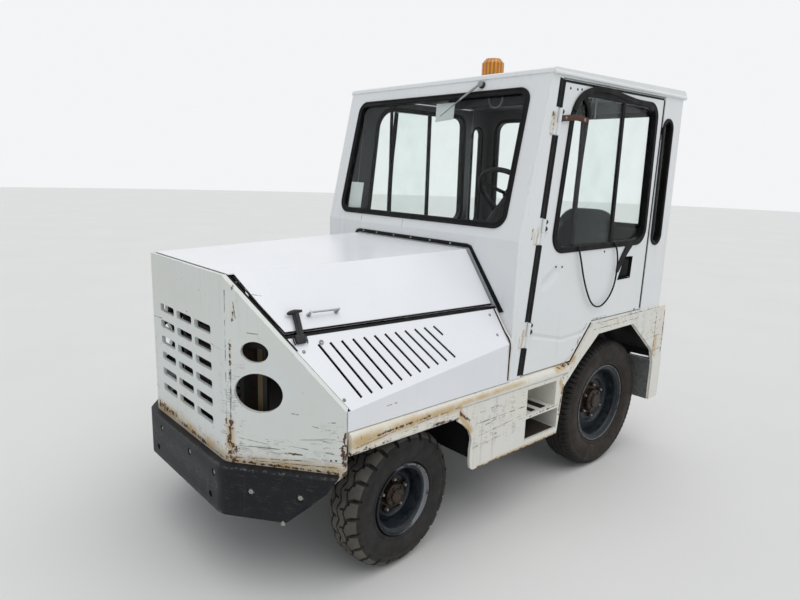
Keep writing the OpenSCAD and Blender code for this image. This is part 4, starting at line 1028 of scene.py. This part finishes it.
FRONT_FLARE = [(123.5, 30), (126, 50), (129, 58), (137, 63), (144, 69), (147.5, 76.5), (151, 76.5),
               (152, 74)]
REAR_FLARE = [(190, 24), (191.5, 40), (188, 45), (189.5, 50), (194, 58), (197, 60.5), (206, 63.5),
              (213, 67), (215.5, 71.5), (218.2, 71.5), (219, 69)]
wheel_forms = (
    ("front", front_rim, wheel_form(FRONT_AXLE_Y, FRONT_R, FRONT_RIM_R, FRONT_WIDTH / 2, 7, 0, 92, 46, 20.3,
                                    5, 68, FRONT_FLARE)),
    ("rear", rear_rim, wheel_form(REAR_AXLE_Y, REAR_R, REAR_RIM_R, 87, 16, 4, 130, 62, 30.3, 6, 92,
                                  REAR_FLARE)))
for way, side in SIDES:
    for end, finish, (disc, nuts, studs) in wheel_forms:
        body, steer = f"{end}_{side}_wheel", end == "front"
        piece(f"disc_wheel_{end}_{side}", on_wheel(disc, way, steer), finish, body,
              [f"rim_{end}_{side}"], sharp=30)
        piece(f"wheel_nuts_{end}_{side}", on_wheel(nuts, way, steer), finish, body)
        piece(f"wheel_studs_{end}_{side}", on_wheel(studs, way, steer), bolt_steel, body)


# Window rubbers: outlines and corner radii of the openings, and the section of a lip (across, outwards)
REAR_WALL_Y = 2584.5
SCREEN_RADII = [70, 70, 62, 62]
SCREEN_PTS = [[-612, 44], [612, 44], [604, 676], [-604, 676]]
REAR_PTS = [[-615, 1330], [615, 1330], [615, 1994], [-615, 1994]]
QUARTER_PTS = [[2378, 1256], [2496, 1256], [2496, 1941], [2378, 1941]]
WINDOW_PTS = [[1440, 1269], [1528, 2004], [2310, 2006], [2316, 1271]]
LIP = np.array([(-16, -3), (-16, 0.4), (-14.5, 2.6), (-11, 4.4), (-6, 4.8), (-4, 3.6), (-3, 1.8), (3, 1.8),
                (4, 3.6), (6, 4.8), (10, 4.6), (12.6, 2.4), (13, -3)])


def flat_ring(corners, radii, d, lift):
    """Outline points moved inwards by d, put into space by lift(first, second)."""
    ring = round_outline(inset(corners, d), [max(r - d, 8) for r in radii], 10)
    return lift(ring[:, 0], ring[:, 1])


def on_screen(x, v):
    """Places just off the windshield plane."""
    return screen(x, v, 3.0)


windows = (
    ("windshield", SCREEN_PTS, SCREEN_RADII, on_screen, SCREEN_OUT, "chassis", 1.0),
    ("rear_window", REAR_PTS, [90] * 4, lambda x, z: spread(x, REAR_WALL_Y, z), (0, 1, 0), "chassis", 1.0),
    ("quarter_window", QUARTER_PTS, [58] * 4, lambda y, z: spread(701.0, y, z), LEFT, "sides", 0.62),
    ("door_window", WINDOW_PTS, [84, 150, 80, 88], lambda y, z: spread(700.5, y, z), LEFT, "door", 1.0))
for name, corners, radii, lift, facing, carrier, narrow in windows:
    lips = [sweep(flat_ring(corners, radii, 12 * narrow, lift), LIP * [narrow, 1], facing)]
    if carrier == "chassis":
        piece(f"{name}_lips", lips, seal)
        continue
    for way, side in SIDES:
        piece(f"{name}_lips_{side}", sided(lips, way), seal,
              f"{side}_door" if carrier == "door" else "chassis")
eighths = np.arange(8) * math.pi / 4
bead_section = 1.7 * np.stack([np.cos(eighths), np.sin(eighths)], -1)
piece("windshield_filler_line", [sweep(flat_ring(SCREEN_PTS, SCREEN_RADII, 24.5, on_screen), bead_section,
                                       SCREEN_OUT)], worn_edge)


# Doors
DOOR_LOW, DOOR_HIGH = 716, 2032
DOOR_FOOT_Y, DOOR_FOOT_Z, DOOR_LEAN = 1286, 713, 0.11733
HINGES = [903, 1371, 1850]


def door_edge(z):
    """Front edge of the door at a height."""
    return DOOR_FOOT_Y + DOOR_LEAN * (z - DOOR_FOOT_Z)


def band(low, high, near, far, x):
    """A flat rubber band along the door's front edge from near to far of it, standing off the skin."""
    section = [(near, -1.5), (near, 1.2), (near + 2, 2.2), (far - 2, 2.2), (far, 1.2), (far, -1.5)]
    return side_strip([(x, door_edge(z), z) for z in (low, high)], section)


def flat_band(path, width, x0, x1):
    """A rubber band of a width along a path of (length, height) on the door, between two x."""
    points = [((x0 + x1) / 2, y, z) for y, z in path]
    h, w = (x1 - x0) / 2, width / 2
    section = [(-w, -h), (-w, h * 0.4), (-w + 3, h), (w - 3, h), (w, h * 0.4), (w, -h)]
    return side_strip(smooth_path(points, 60), section)


# Gap rubbers stop at the hinges on the cab's side and run closer to them on the door's side
cab_spans = list(zip([DOOR_LOW] + [z + 62 for z in HINGES], [z - 59 for z in HINGES] + [DOOR_HIGH]))
door_spans = list(zip([DOOR_LOW] + [z + 58 for z in HINGES], [z + 3 for z in HINGES] + [DOOR_HIGH]))
door_gap = [band(low, high, -31, -4.4, 700.2) for low, high in cab_spans]
door_front_edge = [band(low, high, -0.2, 16, 698.4) for low, high in door_spans]
FRAME_SECTION = [(-5, -1.5), (-5, 0.8), (-4, 1.4), (4, 1.4), (5, 0.8), (5, -1.5)]
door_frame = [side_strip([(698.6, y, 2027 + 8 * (y - 1441) / 935) for y in (1452, 2366)], FRAME_SECTION),
              side_strip([(698.6, 2370 - 24 * (2042 - z) / 1144, z) for z in (2030, 904)], FRAME_SECTION)]
hinge_places = [(door_edge(z) + 17, z + up) for z in HINGES for up in (15, 46)]
hinge_bolts = [hex_head((705, y, z), LEFT, 16, 7) for y, z in hinge_places]
hinge_bolts += [washer((703.2, y, z), LEFT, 12.5, 2.2) for y, z in hinge_places]
door_screws = [dome((697.6, y, z), LEFT, 6, 2.4)
               for y, z in ((1496, 2000), (1551, 2001), (1584, 2004), (1496, 1204), (1546, 1200),
                            (1913, 1250), (2287, 903))]
HANDLE_CUP = [(2066, 1088), (2198, 1090), (2206, 1208), (2122, 1210)]
HANDLE_PADDLE = [(2094, 1110), (2174, 1110), (2180, 1190), (2130, 1192)]
cup_wall = spread(680.4, *inset(HANDLE_CUP, 0.9).T)
door_handle = [sweep(cup_wall, [(-1.6, 0), (-1.6, 19.4), (0.7, 19.4), (0.7, 0)], LEFT),
               upright(inset(HANDLE_CUP, 1.4), 680.3, 681.4, 0.3),
               upright(round_outline(inset(HANDLE_PADDLE, -3), [10] * 4), 680.5, 692.5, 3)]
pane_channels = [
    flat_band([(1638, 1290), (1640, 1480), (1650, 1680), (1668, 1845), (1680, 1975)], 28, 671.5, 684.5),
    flat_band([(1976, 1290), (1976, 1640), (1976, 1985)], 27, 680, 694)]
for way, side in SIDES:
    body = f"{side}_door"
    piece(f"door_gap_rubber_{side}", sided(door_gap, way), seal)
    piece(f"door_edge_rubber_{side}", sided(door_front_edge, way), seal, body)
    piece(f"door_frame_rubber_{side}", sided(door_frame, way), seal, body)
    piece(f"hinge_bolts_{side}", sided(hinge_bolts, way), black_steel, body)
    piece(f"door_screws_{side}", sided(door_screws, way), grip, body)
    piece(f"door_handle_{side}", sided(door_handle, way), grip, body)
for way, side in SIDES:
    piece(f"pane_channels_{side}", sided(pane_channels, way), seal, f"{side}_door")
PEELED = [(1531, 1908), (1555, 1950), (1598, 1984), (1665, 2008), (1753, 2020), (1836, 2019), (1936, 2008),
          (2041, 1998), (2177, 1990), (2245, 1973)]
piece("peeled_window_rubber", [flat_band(PEELED, 26, 701, 709)], seal, "left_door")
piece("hanging_rubber", [flat_band([(1618, 1972), (1646, 1947), (1664, 1919), (1670, 1885)], 27, 692, 699)],
      seal, "left_door")
hook = smooth_path([(694, 1714, 1974), (694, 1714, 1935), (694, 1715, 1888)], 16)
piece("pane_hook", [tube(hook, 3.2, 10)], worn_edge, "left_door")

bracket = smooth_path([(704.4, 1438, 1868), (704.4, 1500, 1874), (704.4, 1560, 1879), (704.4, 1642, 1870)],
                      24)
sleeve_section = [(-13, 0), (-13, 5), (-10, 6.8), (10, 6.8), (13, 5), (13, 0)]
piece("mirror_bracket_sleeve", [side_strip(bracket, sleeve_section)], rusty_steel,
      "left_door")
piece("mirror_bracket_bolts", [dome((711, 1462, 1871), LEFT, 7, 3.5),
                               dome((711, 1610, 1873), LEFT, 8, 3.5)], bolt_steel,
      "left_door")


# Hood fittings
TEE_Y, TEE_Z = 219, 1101
UPWARDS, REARWARDS = np.sign(SLANT_V[2]), np.sign(SLANT_U[1])


def on_panel(across, up, off):
    """Point near the latch: across along the panel to the rear, up its slope, off outwards."""
    across, up = np.atleast_1d(across), np.atleast_1d(up)
    return slant(TEE_Y, TEE_Z, off) + np.outer(across * REARWARDS, SLANT_U) \
        + np.outer(up * UPWARDS, SLANT_V)


bar = on_panel([-34, -31, -24, -12, 0, 10, 20, 27, 29], [-4, -4, -3, -1, 0, 1, 1, 1, 1], 15)
tee = tube(bar, np.array([2.0, 5, 7.5, 8.5, 9.0, 7, 5.5, 5.0, 2.0]), 14)
strap_path = on_panel([0, 0, -1, -3, -6, -9], [4, -20, -45, -70, -92, -110], 0) \
    + np.outer([14, 13, 12, 11.5, 11, 10], SLANT)
strap = sweep(strap_path, [(-12, -4), (-13, 0), (-12, 3.5), (-6, 4), (-4.5, 7), (4.5, 7), (6, 4), (12, 3.5),
                           (13, 0), (12, -4)], SLANT, closed=False)
catch = slab(round_outline([[-20, -17], [20, -17], [20, 17], [-20, 17]], [6] * 4), 0.8, 17, 4,
             on_panel(-8.0, -104.0, 0)[0], SLANT_U, SLANT)
loops = [tube(smooth_path(on_panel(-8 + 23 * s + 3 * s * np.array([0, 1, 1, 0]), [-86, -92, -116, -122], 7),
                          16), 2.2, 8) for s in (-1, 1)]
piece("hood_latch_straps", both([tee, strap, catch] + loops), latch_rubber, "hood",
      ["hood_latches"])
feet = [lathe([[-0.4, 0], [-0.4, 8.5], [2.0, 8.0], [3.0, 6.5], [3.0, 0]], slant(y, z), SLANT, 24)
        for y, z in ((275, 1091), (392, 1090))]
piece("handle_feet", both(feet), bright, "hood")
screws = [dome(slant(y, z, -0.5), SLANT, 7, 4)
          for y, z in ((1140, 1004), (1132, 926), (206, 980), (292, 818))]
screws.append(lathe([[-0.5, 4.5], [-0.5, 9], [3.0, 9], [4.5, 7.5], [3.0, 4.5]], slant(286, 1000), SLANT, 24))
piece("panel_screws", both(screws), bolt_steel)
piece("flap_screws", [dome((x, 1192.5, 1289), FORWARD, 6, 3) for x in (-370, -255, -113, 20, 160, 300)],
      bolt_steel)


# Edges of the sheet metal
bead = smooth_path([slant(1187, 1024, 2.5), slant(1187, 940, 2.5), (708, 1187, 889), (708.5, 1187, 800),
                    (708.5, 1187, 715)], 40)
piece("panel_edge_bead", both([tube(bead, 4.6)]), sill_paint)
# A thin black rod in the gap beside the bright bead: painted shade of the gap.
piece("panel_edge_shade_line", both([tube(bead - [1.6, 7.0, 0], 2.6, 8)]), seal)
gutter_path = smooth_path([(704, 1357, 2050), (704, 1700, 2052), (704, 2200, 2056), (704, 2600, 2059)], 30)
gutter_section = [(3, -3), (3, 5), (1, 8), (-3, 9), (-8, 8.5), (-11, 6.5), (-12.5, 3), (-13, -3)]
piece("roof_gutter", both([side_strip(gutter_path, gutter_section)]), cab_paint)


def panel_patch(corners, low, high):
    """A flat piece on the slanted plane from corners (length, height), between two distances off it."""
    base, side = slant(TEE_Y, TEE_Z), np.cross(SLANT, SLANT_U)
    flat = np.array([[(slant(y, z) - base) @ SLANT_U, (slant(y, z) - base) @ side] for y, z in corners])
    first, second = flat[1] - flat[0], flat[2] - flat[1]
    if first[0] * second[1] < first[1] * second[0]:
        flat = flat[::-1]
    return slab(flat, low, high, 0.6, base, SLANT_U, SLANT)


def edge_y(z):
    """Where the slanted edge of the corner plate is at a height."""
    return 284 * (HOOD_Z - z) / 465


def beside_edge(z0, z1, near, far):
    """Corners of a strip between two heights and two distances behind the slanted edge."""
    return [(edge_y(z0) + near, z0), (edge_y(z1) + near, z1), (edge_y(z1) + far, z1), (edge_y(z0) + far, z0)]


def along_hood(near, rear, low, high):
    """Corners of a strip between two heights from near the slanted edge to the rear."""
    return [(near, low), (rear, low), (rear, high), (near, high)]


filler = [panel_patch(beside_edge(1044, 1236, 21.6, 27.5), -12, -1),
          panel_patch(along_hood(edge_y(1030) + 28, 1180, 1028, 1034.5), -12, -2),
          panel_patch(beside_edge(985, 1044, 20.8, 27), 0.1, 2.2)]
piece("hood_gap_rubber", both(filler), seal)
edging = [panel_patch(beside_edge(1044, 1236, 33.2, 40), 0.1, 2.2),
          panel_patch(along_hood(edge_y(1044) + 34, 1176, 1041.2, 1047), 0.1, 2.2)]
piece("hood_edging", both(edging), seal, "hood")
strut = slab([[104.5, 64.5], [124, 64.5], [124, 66.2], [104.5, 66.2]], 568, 966, 0.3, (BEND_X, 0, 0), CORNER)
piece("lamp_strut_face", both([strut]), strut_ochre)


# Bumper bolts
BUMPER_BOLT_Z = 445
bolts = [hex_head(corner(s, BUMPER_BOLT_Z, 21.6), CORNER_OUT, 19, 8) for s in (112, 303)]
bolts += [washer(corner(s, BUMPER_BOLT_Z, 21.4), CORNER_OUT, 13, 2.0) for s in (112, 303)]
bolts = both(bolts)
bolts += [hex_head((x, -21.6, 487), FORWARD, 17, 6) for x in (-215, 75, 295)]
bolts += [hex_head((x, -10.6, 385), FORWARD, 15, 6) for x in (-262, 262)]
piece("bumper_bolts", bolts, bolt_steel)
pin = tube([corner(236, 345, 20), corner(236, 335, 24), corner(236, 326, 27)], 9, 16)
piece("bumper_pin", both([pin]), bolt_steel)
rivets = [dome(corner(s, z, -0.6), CORNER_OUT, 5, 1.0) for s, z in ((409, 591), (428, 593))]
piece("nose_rivets", both(rivets), black_steel)


# Steps, arches and beacon
# Inner fender sheets round the front wheel; their near black is painted shade of the arch.
fender = slab([[332, 262], [600, 262], [644, 300], [644, 1172], [332, 1172]], 636, 639, 0.5)
fender_wall = slab([[345, 985], [699, 985], [699, 988], [345, 988]], 385, 638, 0.5)
piece("front_inner_fenders", both([fender, fender_wall]), arch_shade_black)
grips = [slab([[a - w, b - d], [a + w, b - d], [a + w, b + d], [a - w, b + d]], 509.2, 513, 1.2)
         for a, b, w, d in ((636, 1490, 58, 20), (636, 1412, 58, 16))]
piece("step_grips", both(grips), grip)
piece("arch_rod", both([tube([(690, 2322, 640), (690, 2440, 606), (690, 2545, 577)], 5)]), cab_paint)
pivot = lathe([[-0.5, 0], [-0.5, 17], [10, 16], [16, 12], [17, 0]], screen(311, 705, 2), SCREEN_OUT, 24)
piece("wiper_pivot_cap", [pivot], black_steel)
sleeve = lathe([[0, 66.4], [0, 69.5], [34, 69.5], [40, 67.5], [40, 66.4]], (0, BEACON_Y, 2083.5),
               ROOF_NORMAL)
piece("beacon_sleeve", [sleeve], grip)


# Behind the windshield
def paper_sheet(outline, low, high, bevel):
    """A sheet along the windshield plane, between two distances off it."""
    return slab(outline, low, high, bevel, screen(0, 0), z_axis=SCREEN_OUT)


piece("blank_papers", [paper_sheet([[-560, 72], [-447, 78], [-459, 219], [-572, 221]], -16.4, -15.4, 0.2),
                       paper_sheet([[22, 547], [145, 557], [134, 640], [6, 640]], -19.5, -18.0, 0.3)],
      paper)
GAUGE = (358, 1400, 1966)
console = [upright(round_outline([[1402, 1925], [1520, 1975], [1520, 2051], [1402, 2051]], [12] * 4),
                   40, 640, 6),
           lathe([[-12, 0], [-12, 36], [0, 36], [4, 33], [4, 0]], GAUGE, FORWARD, 40)]
piece("roof_console", console, dash)
piece("console_ring", [lathe([[0, 37], [0, 44], [6, 43], [8, 40], [6, 37]], GAUGE, FORWARD, 48)],
      worn_edge)


# Seat
def pad_form(centre, size, lean, top_round=0.0, square=0.28):
    """A pillow from a superellipsoid: round in every direction, flatter where it is wide; each point of
    a longitude and latitude grid is a signed power of sine and cosine. It leans back by an angle, and
    the corners of its upper edge can be drawn in."""
    v = np.linspace(-math.pi / 2, math.pi / 2, 41)
    u = np.arange(80) * 2 * math.pi / 80

    def power(value, e):
        return np.sign(value) * np.abs(value) ** e

    ring = power(np.cos(v), 0.55)[:, None]
    x = ring * power(np.cos(u), square)[None, :]
    y = ring * power(np.sin(u), square)[None, :]
    z = np.broadcast_to(power(np.sin(v), 0.8)[:, None], x.shape)
    x = x * (1 - top_round * np.clip(y, 0, 1) ** 3)
    flat = np.stack([x * size[0] / 2, y * size[1] / 2, z * size[2] / 2], -1)
    c, s = math.cos(lean), math.sin(lean)
    turned = np.stack([flat[..., 0], flat[..., 1] * c - flat[..., 2] * s,
                       flat[..., 1] * s + flat[..., 2] * c], -1)
    return grid(turned + np.array(centre), close_v=True, cap_u=True)


def settle(pad):
    """The mesh as its modifiers leave it, with the modifiers gone."""
    graph = bpy.context.evaluated_depsgraph_get()
    made = bpy.data.meshes.new_from_object(pad.evaluated_get(graph), depsgraph=graph)
    pad.modifiers.clear()
    pad.data = made


def mesh_points(pad):
    """The points of a mesh as one array."""
    points = np.empty(len(pad.data.vertices) * 3)
    pad.data.vertices.foreach_get("co", points)
    return points.reshape(-1, 3)


VOXEL, PRESSURE, CLOTH_STEPS, CLOTH_CAP = 0.009, 4.0, 20, 0.022


def stuffed(name, shape, replaced, pinned):
    """The pad as cloth under pressure with no gravity, its movement capped, then one subdivision. The
    points that pinned picks stay where they are."""
    pad = piece(name, [shape], vinyl, "chassis", [replaced], sharp=180)
    bpy.context.view_layer.objects.active = pad
    remesh = pad.modifiers.new("even", "REMESH")
    remesh.mode = "VOXEL"
    remesh.voxel_size = VOXEL
    settle(pad)
    before = mesh_points(pad)
    held = pad.vertex_groups.new(name="held")
    held.add([int(i) for i in np.nonzero(pinned(before * 1000 + [0, NOSE_Y, 0]))[0]], 1.0, "REPLACE")
    cloth = pad.modifiers.new("stuffing", "CLOTH")
    cloth.settings.use_pressure = True
    cloth.settings.uniform_pressure_force = PRESSURE
    cloth.settings.effector_weights.gravity = 0.0
    cloth.settings.vertex_group_mass = "held"
    for step in range(1, CLOTH_STEPS + 1):
        bpy.context.scene.frame_set(step)
    settle(pad)
    move = mesh_points(pad) - before
    far = np.linalg.norm(move, axis=1, keepdims=True)
    moved = before + move * np.minimum(1, CLOTH_CAP / np.maximum(far, 1e-9))
    pad.data.vertices.foreach_set("co", moved.ravel())
    pad.data.update()
    finer = pad.modifiers.new("smooth", "SUBSURF")
    finer.levels = 1
    finer.render_levels = 1
    bpy.context.scene.frame_set(1)


stuffed("seat_cushion_pad", pad_form((300, 2104, 1032), (444, 430, 84), 0.03), "seat_cushion",
        lambda p: p[:, 2] < 1010)
stuffed("seat_back_pad", pad_form((288, 2350, 1258), (400, 366, 74), 1.36, 0.20, 0.46), "seat_back",
        lambda p: p[:, 1] > 2385)


# Floor and light
FLOOR_R, FLOOR_CORNERS = 40, 96
made, g, coord = material("pale_floor")
finish_material(g, g.noise(coord, 30.0, 5.0), 0.15, 0.002,
                Base_Color=g.mix(g.noise(coord, 0.8, 5.0), (0.66, 0.66, 0.65), (0.72, 0.72, 0.71)),
                Roughness=0.9)
turn = np.arange(FLOOR_CORNERS) * 2 * math.pi / FLOOR_CORNERS
mesh = bpy.data.meshes.new("floor")
mesh.from_pydata(np.stack([FLOOR_R * np.cos(turn), FLOOR_R * np.sin(turn), 0 * turn], -1).tolist(), [],
                 [list(range(FLOOR_CORNERS))])
mesh.materials.append(made)
linked("floor", mesh)

world = bpy.data.worlds.new("studio")
bpy.context.scene.world = world
world.use_nodes = True
world.node_tree.nodes.clear()
g = Graph(world.node_tree)
path = g.node("LightPath").outputs
seen = g.most(path["Is Camera Ray"], path["Is Glossy Ray"], path["Is Transmission Ray"])
sky = g.node("Background", {"Color": (0.93, 0.96, 1.0, 1), "Strength": 0.62})
wall_light = g.node("Background", {"Color": (0.90, 0.91, 0.92, 1), "Strength": 1.0})
mixed = g.node("MixShader", {0: seen, 1: sky.outputs[0], 2: wall_light.outputs[0]})
out = g.node("OutputWorld")
g.tree.links.new(mixed.outputs[0], out.inputs[0])
lamp = bpy.data.lights.new("overhead", "SUN")
lamp.energy = 1.45
lamp.angle = math.radians(70)
lamp.color = (1.0, 0.985, 0.96)
above = linked("overhead", lamp)
toward = unit([0.30, 0.02, 0.95])
side = unit(np.cross([0, 1.0, 0], toward))
above.matrix_world = Matrix(np.vstack([np.column_stack([side, np.cross(toward, side), toward,
                                                        toward * 6]), [0, 0, 0, 1]]).tolist())
bpy.context.scene.view_settings.view_transform = "Standard"
